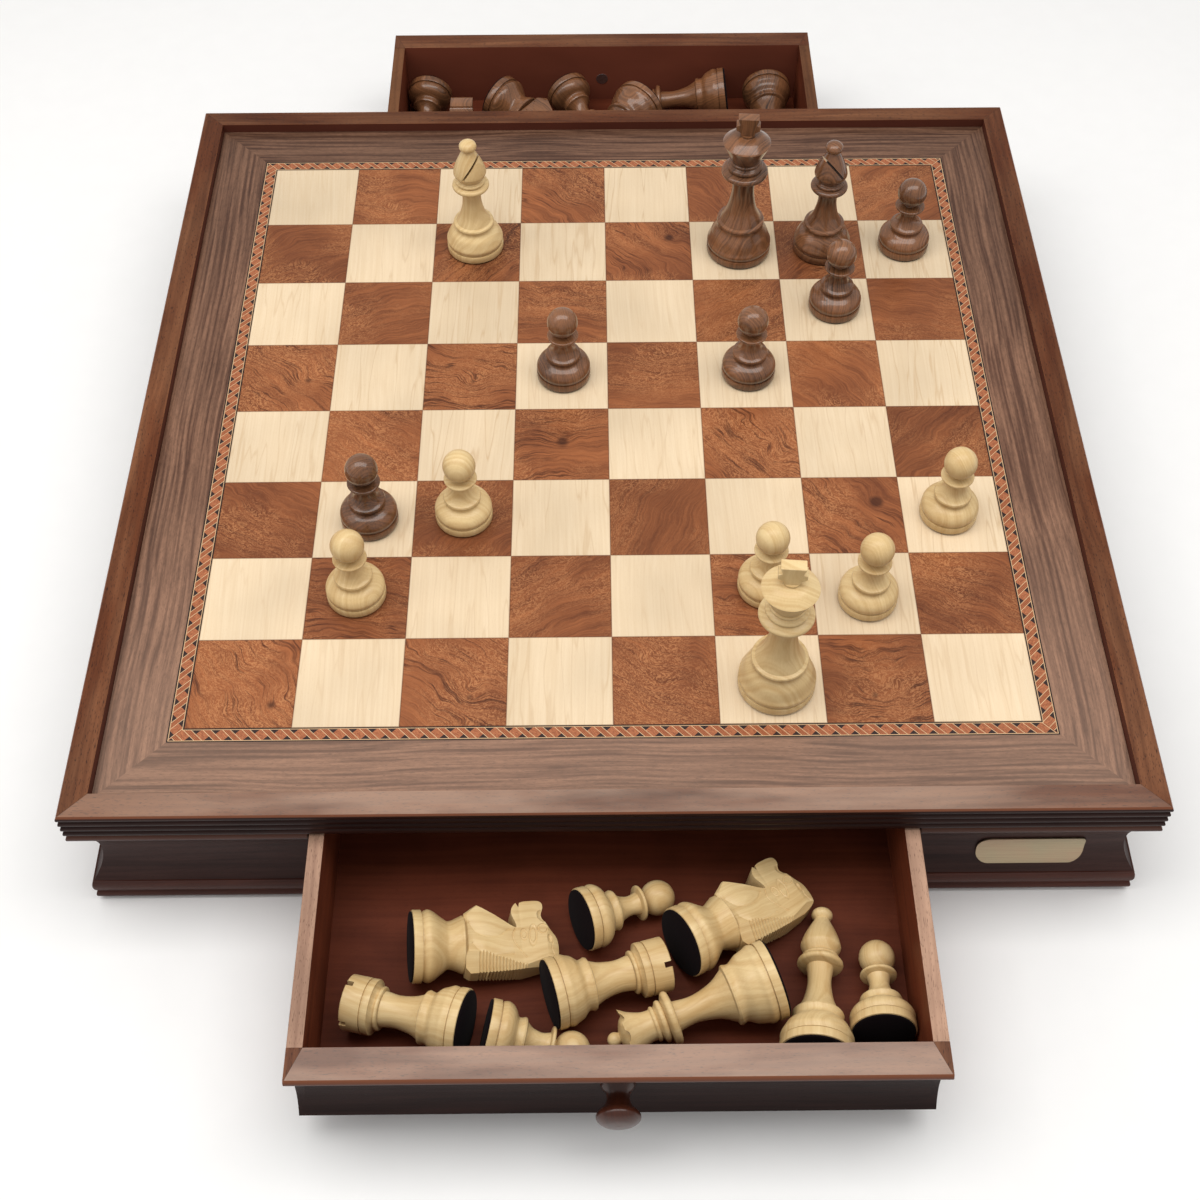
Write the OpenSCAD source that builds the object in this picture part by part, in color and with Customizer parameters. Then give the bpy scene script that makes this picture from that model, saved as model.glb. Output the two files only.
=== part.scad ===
// Chess box with two opposed drawers and its set of men.
// The box stands on the XY plane with its centre on the Z axis. Millimetres, +Z up.
// The front drawer faces -Y. Both drawers are drawn pulled out.

/* [Playing surface] */
// Side of one playing square
square_w = 50; // [45:0.5:55]
// Width of the patterned banding round the squares
banding_w = 7.5; // [5:0.1:10]
// Width of the plain border outside the banding
border_w = 29.5; // [24:0.5:36]
// Thickness of the squares, banding and border
veneer_t = 0.8; // [0.5:0.1:1.5]
// Thickness of the panel under the veneer
panel_t = 8; // [6:0.5:9]
// Gap between the panel's edge and the frame
panel_gap = 0.2; // [0.1:0.05:0.5]

/* [Top frame] */
// Width of the frame's top face
rim_w = 12.8; // [10:0.2:16]
// Height of the frame's rim above the playing surface
rim_h = 5.4; // [3:0.1:8]
// Depth of the frame below the playing surface
frame_drop = 12.1; // [11:0.1:16]
// Width of the ledge that carries the panel
ledge_w = 8; // [5:0.5:12]
// Number of reeds round the outside of the frame
reed_count = 4; // [3:1:5]
// How far a reed stands out
reed_bulge = 1; // [0.6:0.1:1.4]
// How deep a reed's edges lie in the wood behind it
reed_root = 0.15; // [0.05:0.05:0.3]

/* [Plinth] */
// Height of the lip and cove moulding
plinth_h = 46.2; // [43:0.2:52]
// Thickness of the moulding at its lip
plinth_t = 20; // [18:0.5:24]
// Height of the rounded lip
lip_h = 5.5; // [4:0.1:7]
// Depth of the cove behind the lip
cove_depth = 9; // [6:0.5:10]
// Radius of the cove
cove_r = 32; // [28:0.5:38]
// Side of the blocks glued in the corners
block_w = 20; // [12:0.5:26]

/* [Base] */
// Height of the base moulding
base_h = 15.7; // [14:0.1:19]
// Height of the base moulding's upper bead
upper_bead_h = 9.8; // [7:0.1:11]
// Width of the base moulding
base_w = 24; // [21:0.5:30]
// Thickness of the bottom board
bottom_t = 6; // [4:0.5:8]
// Thickness of the felt feet
foot_t = 1.5; // [1:0.1:3]
// Diameter of the felt feet
foot_d = 19; // [14:0.5:22]

/* [Drawers] */
// Width of a drawer
drawer_w = 278; // [250:1:300]
// Thickness of the moulded drawer front
front_t = 15.3; // [14:0.1:19]
// Thickness of the sides and the back
side_t = 7; // [5:0.2:8]
// Thickness of the drawer's bottom
floor_t = 2.6; // [2:0.1:4]
// Height of the bottom above the lower edge of the sides
floor_up = 0.6; // [0.4:0.1:2]
// Depth of the groove that holds the bottom
groove_d = 3; // [2:0.1:4]
// Gap between a drawer and the case at each side
side_gap = 0.8; // [0.4:0.1:2]
// Gap over and under a drawer
run_gap = 0.4; // [0.2:0.1:1]
// How far the front drawer is pulled out
front_open = 114.5; // [0:0.5:150]
// How far the rear drawer is pulled out
rear_open = 106; // [0:0.5:150]
// Width of the drawer guides
guide_w = 12; // [8:0.5:20]
// Height of the drawer guides
guide_h = 20; // [12:0.5:36]
// Thickness of the stop rail between the drawers
stop_t = 10; // [6:0.5:12]
// Height of the stop rail
stop_h = 30; // [20:0.5:40]
// Gap between a closed drawer and the stop rail
stop_gap = 0.5; // [0.2:0.1:2]

/* [Knobs] */
// Radius of the knob's head
knob_r = 9.7; // [8:0.1:12]
// Radius of the knob's foot
knob_foot_r = 7.6; // [6:0.1:8.5]
// Radius of the knob's neck
knob_neck_r = 5; // [4.2:0.1:6]
// Length of the knob
knob_l = 20; // [17:0.5:26]
// Radius of the knob's screw
screw_r = 2; // [1.5:0.1:2.4]
// Radius of the screw's head
screw_head_r = 3.9; // [3:0.1:5]
// Height of the screw's head
screw_head_h = 1.8; // [1.2:0.1:2.6]
// Depth of the screw in the knob
screw_grip = 11; // [8:0.5:13]

/* [Plate] */
// Width of the bare plate
plate_w = 51; // [40:1:60]
// Height of the bare plate
plate_h = 16; // [12:0.5:20]
// Thickness of the bare plate
plate_t = 0.8; // [0.5:0.1:1.5]
// Gap behind the plate
plate_gap = 0.3; // [0.2:0.05:0.6]
// Distance of the plate's middle from the box's middle
plate_x = 197; // [180:1:205]
// Drop of the plate's middle below the cove's middle
plate_drop = 7.5; // [4:0.5:9]

/* [Men, shared] */
// Thickness of the felt under a man
man_felt_t = 0.9; // [0.6:0.1:1.5]
// Inset of the felt from the man's base
man_felt_in = 0.7; // [0.3:0.1:1.5]
// Height of the plain band round a base
band_h = 4.2; // [3:0.1:5]
// Gap between a man and what it stands or lies on
seat_gap = 0.05; // [0.02:0.01:0.3]
// Gap between a lying man and the drawer's bottom
lie_gap = 0.25; // [0.1:0.05:0.5]

/* [Pawn] */
// Radius of the pawn's base
pawn_r = 14.6; // [13.4:0.1:15.4]
// Radius of the pawn's lower ring
pawn_ring_r = 9.5; // [8.6:0.1:10.6]
// Height of the pawn's lower ring
pawn_ring_z = 17.4; // [16.4:0.1:18.4]
// Radius of the pawn's neck
pawn_neck_r = 4.5; // [3.8:0.1:5.4]
// Radius of the pawn's collar
pawn_collar_r = 8.3; // [7.4:0.1:9]
// Height of the pawn's collar
pawn_collar_z = 30; // [28.8:0.1:31]
// Radius of the pawn's ball
pawn_ball_r = 8.2; // [7.6:0.1:8.8]
// Height of the middle of the pawn's ball
pawn_ball_z = 39.3; // [38:0.1:41]

/* [Rook] */
// Radius of the rook's base
rook_r = 16.1; // [15:0.1:17]
// Radius of the rook's lower ring
rook_ring_r = 12; // [11:0.1:13]
// Height of the rook's lower ring
rook_ring_z = 19.4; // [18.4:0.1:20.4]
// Radius of the rook's neck
rook_neck_r = 7.2; // [6.4:0.1:8]
// Radius of the rook's tower
rook_tower_r = 12.4; // [11.6:0.1:13.2]
// Height of the rook's collar
rook_collar_z = 40; // [38.5:0.1:41]
// Height of the rook
rook_h = 55; // [53:0.1:57]
// Radius of the hollow in the rook's tower
rook_cup_r = 8.6; // [7:0.1:9.4]
// Depth of the slots in the rook's tower
rook_slot_h = 3.4; // [2.6:0.1:4.2]
// Width of the slots in the rook's tower
rook_slot_w = 2.5; // [1.8:0.1:3.4]

/* [Bishop] */
// Radius of the bishop's base
bishop_r = 16.3; // [15.4:0.1:17]
// Radius of the bishop's lower ring
bishop_ring_r = 11.6; // [10.6:0.1:12.6]
// Height of the bishop's lower ring
bishop_ring_z = 20; // [19:0.1:21]
// Radius of the bishop's neck
bishop_neck_r = 5.3; // [4.6:0.1:6]
// Radius of the bishop's collar
bishop_collar_r = 10.4; // [9.6:0.1:11]
// Height of the bishop's collar
bishop_collar_z = 45.6; // [44.6:0.1:46.4]
// Radius of the bishop's head
bishop_head_r = 9.1; // [8.4:0.1:9.8]
// Height of the widest part of the bishop's head
bishop_head_z = 55.5; // [54.6:0.1:56.4]
// Radius of the bishop's top ball
bishop_ball_r = 4.7; // [4.2:0.1:5.2]
// Height of the middle of the bishop's top ball
bishop_ball_z = 70.6; // [69.8:0.1:71.6]
// Width of the slit in the bishop's head
bishop_slit_w = 1.3; // [0.9:0.1:1.8]

/* [Queen] */
// Radius of the queen's base
queen_r = 17.9; // [17:0.1:18.6]
// Radius of the queen's lower ring
queen_ring_r = 13.8; // [12.8:0.1:14.6]
// Height of the queen's lower ring
queen_ring_z = 22; // [21:0.1:23]
// Radius of the queen's neck
queen_neck_r = 5.9; // [5.2:0.1:6.8]
// Radius of the queen's collar
queen_collar_r = 12.1; // [11.2:0.1:12.8]
// Height of the queen's collar
queen_collar_z = 50; // [49:0.1:51]
// Radius of the queen's crown
queen_crown_r = 12; // [11.2:0.1:12.8]
// Height of the queen's crown
queen_crown_z = 71.4; // [70.4:0.1:72.4]
// Number of points on the queen's crown
queen_points = 8; // [6:1:10]
// Radius of the queen's top ball
queen_ball_r = 3.2; // [2.7:0.1:3.7]
// Height of the middle of the queen's top ball
queen_ball_z = 76.6; // [76:0.1:77.4]

/* [King] */
// Radius of the king's base
king_r = 18.4; // [17.6:0.1:19]
// Radius of the king's lower ring
king_ring_r = 13.5; // [12.6:0.1:14.4]
// Height of the king's lower ring
king_ring_z = 23.4; // [22.4:0.1:24.4]
// Radius of the king's neck
king_neck_r = 6.2; // [5.4:0.1:7]
// Radius of the king's collar
king_collar_r = 12.9; // [12:0.1:13.6]
// Height of the king's collar
king_collar_z = 57; // [56:0.1:58]
// Radius of the king's crown
king_crown_r = 13.1; // [12.2:0.1:13.8]
// Height of the king's crown
king_crown_z = 77; // [76:0.1:78]
// Height of the king's dome over the crown's edge
king_dome_h = 4.6; // [3.6:0.1:5.4]
// Width of the king's cross
cross_w = 13; // [11:0.1:14]
// Height of the king's cross
cross_h = 11; // [10:0.1:12]
// Thickness of the king's cross
cross_t = 5.6; // [4.6:0.1:6.4]

/* [Knight] */
// Radius of the knight's base
knight_r = 16.4; // [15.6:0.1:17]
// Radius of the knight's collar
knight_collar_r = 13; // [12.2:0.1:13.6]
// Radius of the hollow between base and collar
knight_waist_r = 10.8; // [10:0.1:11.6]
// Height of the turned part of the knight
knight_turned_z = 24; // [23:0.1:25]
// Height of the knight
knight_h = 67; // [64:0.1:70]
// Length of the horse from chest to mane
horse_l = 31.5; // [29:0.1:33]
// Thickness of the horse at its chest
horse_t = 20; // [18:0.1:22]
// Thickness of the horse's head
horse_head_t = 14.4; // [13:0.1:16]
// Number of locks in the mane
mane_count = 13; // [9:1:16]

/* [Where the men stand, in squares from the middle] */
// Boxwood king
pale_king_at = [1.55, -3.56]; // [-4:0.01:4]
// Boxwood bishop
pale_bishop_at = [-1.52, 2.6]; // [-4:0.01:4]
// Boxwood pawn near the left
pale_pawn_b_at = [-2.51, -2.47]; // [-4:0.01:4]
// Boxwood pawn on the third file
pale_pawn_c_at = [-1.49, -1.48]; // [-4:0.01:4]
// Boxwood pawn in front of its king
pale_pawn_f_at = [1.54, -2.42]; // [-4:0.01:4]
// Boxwood pawn on the seventh file
pale_pawn_g_at = [2.52, -2.57]; // [-4:0.01:4]
// Boxwood pawn near the right
pale_pawn_h_at = [3.46, -1.5]; // [-4:0.01:4]
// Dark king
dark_king_at = [1.55, 2.52]; // [-4:0.01:4]
// Dark bishop
dark_bishop_at = [2.52, 2.53]; // [-4:0.01:4]
// Dark pawn near the left
dark_pawn_b_at = [-2.45, -1.52]; // [-4:0.01:4]
// Dark pawn in the middle
dark_pawn_d_at = [-0.48, 0.51]; // [-4:0.01:4]
// Dark pawn right of the middle
dark_pawn_f_at = [1.54, 0.51]; // [-4:0.01:4]
// Dark pawn in front of its bishop
dark_pawn_g_at = [2.58, 1.54]; // [-4:0.01:4]
// Dark pawn near the right
dark_pawn_h_at = [3.48, 2.55]; // [-4:0.01:4]

/* [Hidden] */
$fn = 64;

// Finishes
walnut = [0.36, 0.21, 0.15];
dark_walnut = [0.2, 0.13, 0.11];
border_brown = [0.45, 0.35, 0.29];
maple = [0.93, 0.84, 0.68];
bubinga = [0.55, 0.28, 0.18];
drawer_brown = [0.33, 0.15, 0.1];
boxwood = [0.88, 0.77, 0.52];
sheesham = [0.42, 0.25, 0.17];
felt_black = [0.06, 0.05, 0.06];
gold = [0.74, 0.66, 0.5];
steel = [0.7, 0.7, 0.72];

// Half sizes out from the middle of the box
board_half = 4 * square_w;
banding_half = board_half + banding_w;
border_half = banding_half + border_w;
frame_in = border_half + panel_gap;
case_half = frame_in + rim_w;
plinth_in = case_half - plinth_t;
base_in = case_half - base_w;
bead_face = case_half - reed_bulge;
bottom_half = case_half - 14;

// Heights
base_z = foot_t;
plinth_z = base_z + base_h;
frame_z = plinth_z + plinth_h;
play_z = frame_z + frame_drop;
rim_z = play_z + rim_h;
panel_z = play_z - veneer_t - panel_t;
lip_z = frame_z - lip_h;
cove_z = (plinth_z + lip_z) / 2;
cove_h = case_half - cove_depth + cove_r;
bottom_z = plinth_z - bottom_t;

// Drawers
opening_half = drawer_w / 2 + side_gap;
drawer_l = case_half - stop_t / 2 - stop_gap;
drawer_z = plinth_z + run_gap;
drawer_top = frame_z - run_gap;
floor_z = drawer_z + floor_up + floor_t;
front_nose = -case_half - front_open;
rear_nose = case_half + rear_open;
front_shift = -front_open;
rear_shift = rear_open;
knob_seat = case_half - cove_depth;

// Men
band_z = man_felt_t + band_h;
swell_z = band_z + 2.8;
reach = 2 * case_half;

function mix(a, b, t) = a + (b - a) * t;
function span(a, b, c, d, t) =
    0.5 * (2 * b + (c - a) * t + (2 * a - 5 * b + 4 * c - d) * t * t
    + (3 * b - a - 3 * c + d) * t * t * t);
// A smooth line through the points p, with n steps between neighbours
function curve(p, n = 4) = [
    for (i = [0 : len(p) - 2])
        for (j = [0 : n - 1])
            span(p[max(i - 1, 0)], p[i], p[i + 1], p[min(i + 2, len(p) - 1)], j / n),
    p[len(p) - 1]];
// An arc of radius r round [x, z] from angle a to angle b
function arc(x, z, r, a, b, n = 6) = [
    for (i = [0 : n]) [x + r * cos(mix(a, b, i / n)), z + r * sin(mix(a, b, i / n))]];
// The outline of a rounded ring of outer radius r, height h and middle z
function ring(r, z, h) = arc(r - h / 2, z, h / 2, -80, 80, 5);

// ---- Case mouldings ----

// A length of moulding along one side of the box, its outline given outwards and up
module run() {
    rotate([90, 0, -90]) linear_extrude(height = 2 * reach, center = true) children();
}

// Keeps what lies over a plan outline
module over(points) {
    intersection() {
        linear_extrude(height = 2 * rim_z) polygon(points);
        children();
    }
}

// One mitred side of a frame, turned to side 0 front, 1 right, 2 back, 3 left
module mitred(side) {
    rotate(90 * side)
        over([[0, 0], [-reach, -reach], [reach, -reach]]) run() children();
}

// A convex reed that reaches out to the case's face between two heights
module reed(low, high) {
    half = (high - low) / 2;
    rise = reed_bulge + reed_root;
    r = (half * half + rise * rise) / (2 * rise);
    intersection() {
        translate([case_half - r, low + half]) circle(r);
        translate([frame_in, low]) square([case_half, 2 * half]);
    }
}

module frame_core() {
    polygon([[frame_in, rim_z], [bead_face, rim_z], [bead_face, frame_z],
        [frame_in - ledge_w, frame_z], [frame_in - ledge_w, panel_z], [frame_in, panel_z]]);
}

module plinth_outline() {
    nose = lip_h / 2;
    translate([case_half - nose, frame_z - nose]) circle(nose);
    translate([plinth_in, lip_z]) square([plinth_t - nose, lip_h]);
    difference() {
        translate([plinth_in, plinth_z]) square([plinth_t, lip_z - plinth_z]);
        translate([cove_h, cove_z]) circle(cove_r);
    }
}

module base_outline() {
    bead_top = plinth_z - upper_bead_h;
    polygon([[base_in, base_z], [bead_face, base_z], [bead_face, plinth_z],
        [bottom_half + panel_gap, plinth_z], [bottom_half + panel_gap, bottom_z],
        [base_in, bottom_z]]);
    reed(bead_top, plinth_z);
    reed(base_z, bead_top);
}

module frame_side(side) {
    step = (rim_z - frame_z) / reed_count;
    color(walnut) mitred(side) frame_core();
    color(walnut) for (i = [0 : reed_count - 1])
        mitred(side) reed(frame_z + i * step, frame_z + (i + 1) * step);
}

module plinth_full(side) {
    color(dark_walnut) mitred(side) plinth_outline();
}

// The part of a plinth side between its left corner and the drawer
module plinth_corner(turn, flip) {
    color(dark_walnut) rotate(turn) mirror([flip, 0, 0])
        over([[-reach, -reach], [-opening_half, -reach], [-opening_half, -opening_half]])
            run() plinth_outline();
}

module base_moulding() {
    color(dark_walnut) for (side = [0 : 3]) mitred(side) base_outline();
}

module bottom_board() {
    color(walnut) translate([-bottom_half, -bottom_half, bottom_z])
        cube([2 * bottom_half, 2 * bottom_half, bottom_t]);
}

module corner_blocks() {
    color(maple)
        for (x = [0, 1]) for (y = [0, 1]) mirror([x, 0, 0]) mirror([0, y, 0])
            translate([plinth_in - block_w, plinth_in - block_w, plinth_z])
                cube([block_w, block_w, plinth_h]);
}

module drawer_guides() {
    color(maple) for (x = [0, 1]) mirror([x, 0, 0])
        translate([opening_half, -plinth_in, plinth_z])
            cube([guide_w, 2 * plinth_in, guide_h]);
}

module stop_rail() {
    color(maple) translate([-opening_half, -stop_t / 2, plinth_z])
        cube([2 * opening_half, stop_t, stop_h]);
}

module felt_feet() {
    inset = (case_half - base_w + bead_face) / 2;
    color(felt_black) for (x = [-1, 1]) for (y = [-1, 1])
        translate([x * inset, y * inset, 0]) cylinder(d = foot_d, h = foot_t);
}

// A plate bent to the cove, with a different curve at each corner
module bare_plate() {
    w = plate_w / 2;
    h = plate_h / 2;
    big = 0.42 * plate_h;
    small = 0.16 * plate_h;
    color(gold) intersection() {
        run() translate([0, cove_z]) difference() {
            translate([cove_h, 0]) circle(cove_r - plate_gap);
            translate([cove_h, 0]) circle(cove_r - plate_gap - plate_t);
            translate([cove_h, -cove_r]) square(2 * cove_r);
        }
        translate([plate_x, -plinth_in, cove_z - plate_drop]) rotate([90, 0, 0])
            linear_extrude(height = 2 * plinth_t) polygon(concat(
                arc(-w + big, -h + big, big, 180, 270),
                arc(w - big, -h + big, big, 270, 360),
                arc(w - small, h - small, small, 0, 90),
                arc(-w + big, h - big, big, 90, 180)));
    }
}

// ---- Playing surface ----

module board_panel() {
    color(border_brown) translate([-border_half, -border_half, panel_z])
        cube([2 * border_half, 2 * border_half, panel_t]);
}

// The squares of one colour: parity 0 holds the near left corner
module squares(parity) {
    for (i = [0 : 7]) for (j = [0 : 7]) if ((i + j) % 2 == parity)
        translate([(i - 4) * square_w, (j - 4) * square_w, play_z - veneer_t])
            cube([square_w, square_w, veneer_t]);
}

module light_squares() {
    color(maple) squares(1);
}

module dark_squares() {
    color(bubinga) squares(0);
}

// Four mitred veneer strips between two half sizes
module veneer_frame(inner, outer) {
    for (side = [0 : 3]) mitred(side)
        translate([inner, play_z - veneer_t]) square([outer - inner, veneer_t]);
}

module banding() {
    color(bubinga) veneer_frame(board_half, banding_half);
}

module border() {
    color(border_brown) veneer_frame(banding_half, border_half);
}

// ---- Drawers, drawn closed at the front and then moved ----

// Puts a closed front drawer's piece where the named drawer stands open
module in_front() {
    translate([0, front_shift, 0]) children();
}

module in_rear() {
    translate([0, rear_shift, 0]) rotate(180) children();
}

module drawer_box(x, y, z, w, l, h) {
    translate([x, y, z]) cube([w, l, h]);
}

// The groove round the inside that holds the drawer's bottom
module bottom_blank(grow) {
    w = drawer_w - 2 * side_t + 2 * groove_d;
    y = -case_half + front_t - groove_d;
    l = drawer_l - front_t - side_t + 2 * groove_d;
    drawer_box(-w / 2 - grow, y - grow, drawer_z + floor_up, w + 2 * grow, l + 2 * grow, floor_t);
}

module drawer_front() {
    color(walnut) difference() {
        over([[-drawer_w / 2, -reach], [drawer_w / 2, -reach],
            [drawer_w / 2, 0], [-drawer_w / 2, 0]])
            run() intersection() {
                plinth_outline();
                translate([case_half - front_t, drawer_z])
                    square([front_t, drawer_top - drawer_z]);
            }
        bottom_blank(0);
        translate([0, -knob_seat, cove_z]) rotate([90, 0, 0])
            cylinder(r = knob_foot_r + 0.2, h = cove_depth);
        translate([0, -plinth_in, cove_z]) rotate([90, 0, 0])
            cylinder(r = screw_r + 0.1, h = plinth_t);
    }
}

module drawer_side(flip) {
    color(drawer_brown) mirror([flip, 0, 0]) difference() {
        drawer_box(-drawer_w / 2, -case_half + front_t, drawer_z,
            side_t, drawer_l - front_t, drawer_top - drawer_z);
        bottom_blank(0);
    }
}

module drawer_back() {
    color(drawer_brown) difference() {
        drawer_box(-drawer_w / 2 + side_t, -case_half + drawer_l - side_t, drawer_z,
            drawer_w - 2 * side_t, side_t, drawer_top - drawer_z);
        bottom_blank(0);
    }
}

module drawer_bottom() {
    color(drawer_brown) bottom_blank(0);
}

module knob() {
    neck_z = 0.42 * knob_l;
    color(walnut) translate([0, -knob_seat, cove_z]) rotate([90, 0, 0]) difference() {
        rotate_extrude() polygon(concat([[0, 0], [knob_foot_r - 0.6, 0]],
            curve([[knob_foot_r, 0.8], [knob_foot_r - 0.2, 2.6], [knob_neck_r + 0.4, 5.4],
                [knob_neck_r, neck_z], [knob_neck_r + 1.4, neck_z + 3],
                [knob_r - 0.8, knob_l - 6.2], [knob_r, knob_l - 4.2],
                [knob_r - 1.1, knob_l - 2.2], [0.55 * knob_r, knob_l - 0.6], [0, knob_l]])));
        translate([0, 0, -1]) cylinder(r = screw_r + 0.05, h = screw_grip + 1.3);
    }
}

module knob_screw() {
    inside = case_half - front_t;
    color(steel) translate([0, -inside, cove_z]) rotate([90, 0, 0]) {
        cylinder(r = screw_r, h = knob_seat - inside + screw_grip);
        translate([0, 0, -screw_head_h]) cylinder(r = screw_head_r, h = screw_head_h);
    }
}

// ---- Chessmen, drawn standing at the origin ----

module turned(outline) {
    rotate_extrude() polygon(outline);
}

module man_felt(r) {
    color(felt_black) cylinder(r = r - man_felt_in, h = man_felt_t);
}

// Outline of a base: band, groove, swell and hollow up to a ring
function foot(r, ring_r, ring_z) = concat(
    [[0, man_felt_t], [r - 0.4, man_felt_t], [r, man_felt_t + 0.5], [r, band_z - 0.4],
        [r - 0.6, band_z]],
    curve([[r - 0.6, band_z + 0.3], [r - 0.05, swell_z], [r - 1, swell_z + 2.4],
        [mix(r, ring_r, 0.55), mix(swell_z + 2.4, ring_z - 3.6, 0.5)],
        [ring_r - 0.5, ring_z - 3.6], [ring_r, ring_z - 0.8]]),
    [[ring_r - 0.3, ring_z]]);

// Outline of a stem that narrows from a ring and widens a little under a collar
function stem(ring_r, ring_z, neck_r, top_z) = curve([
    [ring_r - 1.8, ring_z + 0.6],
    [mix(neck_r, ring_r - 1.8, 0.36), mix(ring_z, top_z, 0.28)],
    [neck_r, mix(ring_z, top_z, 0.66)],
    [neck_r + 0.8, top_z]]);

module pawn() {
    meet = asin(3 / pawn_ball_r);
    turned(concat(
        foot(pawn_r, pawn_ring_r, pawn_ring_z),
        stem(pawn_ring_r, pawn_ring_z, pawn_neck_r, pawn_collar_z - 1.2),
        ring(pawn_collar_r, pawn_collar_z, 1.6),
        [[3.4, pawn_collar_z + 1.1]],
        arc(0, pawn_ball_z, pawn_ball_r, meet - 90, 90, 14)));
    man_felt(pawn_r);
}

module rook() {
    slope = rook_collar_z + 2.6;
    difference() {
        turned(concat(
            foot(rook_r, rook_ring_r, rook_ring_z),
            stem(rook_ring_r, rook_ring_z, rook_neck_r, rook_collar_z - 1.6),
            [[rook_neck_r + 1.9, rook_collar_z - 1], [rook_neck_r + 2.6, rook_collar_z]],
            curve([[rook_neck_r + 2.9, rook_collar_z + 0.6], [rook_tower_r - 0.5, slope],
                [rook_tower_r, slope + 1.4]]),
            [[rook_tower_r, slope + 3.2], [rook_tower_r - 0.4, slope + 3.5],
                [rook_tower_r, slope + 3.8], [rook_tower_r, rook_h - 0.4],
                [rook_tower_r - 0.4, rook_h], [0, rook_h]]));
        translate([0, 0, rook_h - rook_slot_h - 0.8])
            cylinder(r = rook_cup_r, h = rook_slot_h + 1);
        for (turn = [0, 90]) rotate(turn)
            translate([-2 * rook_tower_r, -rook_slot_w / 2, rook_h - rook_slot_h])
                cube([4 * rook_tower_r, rook_slot_w, rook_slot_h + 1]);
    }
    man_felt(rook_r);
}

module bishop() {
    top = bishop_ball_z - 0.8 * bishop_ball_r;
    difference() {
        turned(concat(
            foot(bishop_r, bishop_ring_r, bishop_ring_z),
            stem(bishop_ring_r, bishop_ring_z, bishop_neck_r, bishop_collar_z - 1.9),
            ring(bishop_collar_r, bishop_collar_z, 3),
            ring(bishop_collar_r - 1.9, bishop_collar_z + 3.1, 2),
            curve([[bishop_head_r - 2, bishop_collar_z + 4.8],
                [bishop_head_r - 0.3, bishop_head_z - 2], [bishop_head_r, bishop_head_z],
                [bishop_head_r - 1.4, mix(bishop_head_z, top, 0.42)],
                [bishop_ball_r - 0.6, top - 0.3]]),
            arc(0, bishop_ball_z, bishop_ball_r, -50, 90, 10)));
        translate([3, 0, bishop_head_z + 6.5]) rotate([0, -38, 0])
            translate([0, -bishop_head_r - 1, 0])
                cube([bishop_head_r * 3, 2 * bishop_head_r + 2, bishop_slit_w]);
    }
    man_felt(bishop_r);
}

module queen() {
    difference() {
        turned(concat(
            foot(queen_r, queen_ring_r, queen_ring_z),
            stem(queen_ring_r, queen_ring_z, queen_neck_r, queen_collar_z - 2.2),
            ring(queen_collar_r, queen_collar_z, 3.6),
            ring(queen_collar_r - 2.6, queen_collar_z + 4, 2.8),
            ring(queen_collar_r - 4.2, queen_collar_z + 7.4, 2),
            curve([[queen_crown_r - 5.2, queen_collar_z + 9],
                [queen_crown_r - 4.8, queen_collar_z + 12.5],
                [queen_crown_r - 2.6, queen_crown_z - 3.4], [queen_crown_r, queen_crown_z]]),
            [[queen_crown_r - 1.8, queen_crown_z - 0.4]],
            curve([[queen_crown_r - 3, queen_crown_z - 1.4],
                [queen_crown_r - 5.2, queen_crown_z + 1], [2.4, queen_ball_z - 2.4]]),
            arc(0, queen_ball_z, queen_ball_r, -40, 90, 8)));
        for (i = [0 : queen_points - 1]) rotate(360 * (i + 0.5) / queen_points)
            translate([queen_crown_r, 0, queen_crown_z + 1.6]) rotate([0, 90, 0])
                cylinder(r = 3.2, h = 6, center = true);
    }
    man_felt(queen_r);
}

// A cross whose arms widen outwards, standing on z = 0
module cross() {
    w = cross_w / 2;
    h = cross_h;
    rotate([90, 0, 0]) linear_extrude(height = cross_t, center = true)
        polygon([[-0.46 * w, 0], [0.46 * w, 0], [w, 0.36 * h], [w, 0.62 * h], [0.66 * w, 0.58 * h],
            [0.84 * w, h], [-0.84 * w, h], [-0.66 * w, 0.58 * h], [-w, 0.62 * h],
            [-w, 0.36 * h]]);
}

module king() {
    dome = king_crown_z + king_dome_h;
    turned(concat(
        foot(king_r, king_ring_r, king_ring_z),
        stem(king_ring_r, king_ring_z, king_neck_r, king_collar_z - 2.2),
        ring(king_collar_r, king_collar_z, 3.6),
        ring(king_collar_r - 2.8, king_collar_z + 4, 2.8),
        ring(king_collar_r - 4.2, king_collar_z + 7.2, 2),
        [[king_crown_r - 5, king_collar_z + 8.6]],
        curve([[king_crown_r - 4.6, king_collar_z + 9.4],
            [king_crown_r - 2.4, king_crown_z - 5.6], [king_crown_r, king_crown_z - 0.4]]),
        curve([[king_crown_r - 0.3, king_crown_z], [mix(4, king_crown_r, 0.5), dome - 1.5],
            [4.6, dome - 0.5]]),
        [[4.1, dome - 0.4], [4.1, dome + 0.7], [0, dome + 0.7]]));
    translate([0, 0, dome + 0.6]) rotate(-5) cross();
    man_felt(king_r);
}

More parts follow.
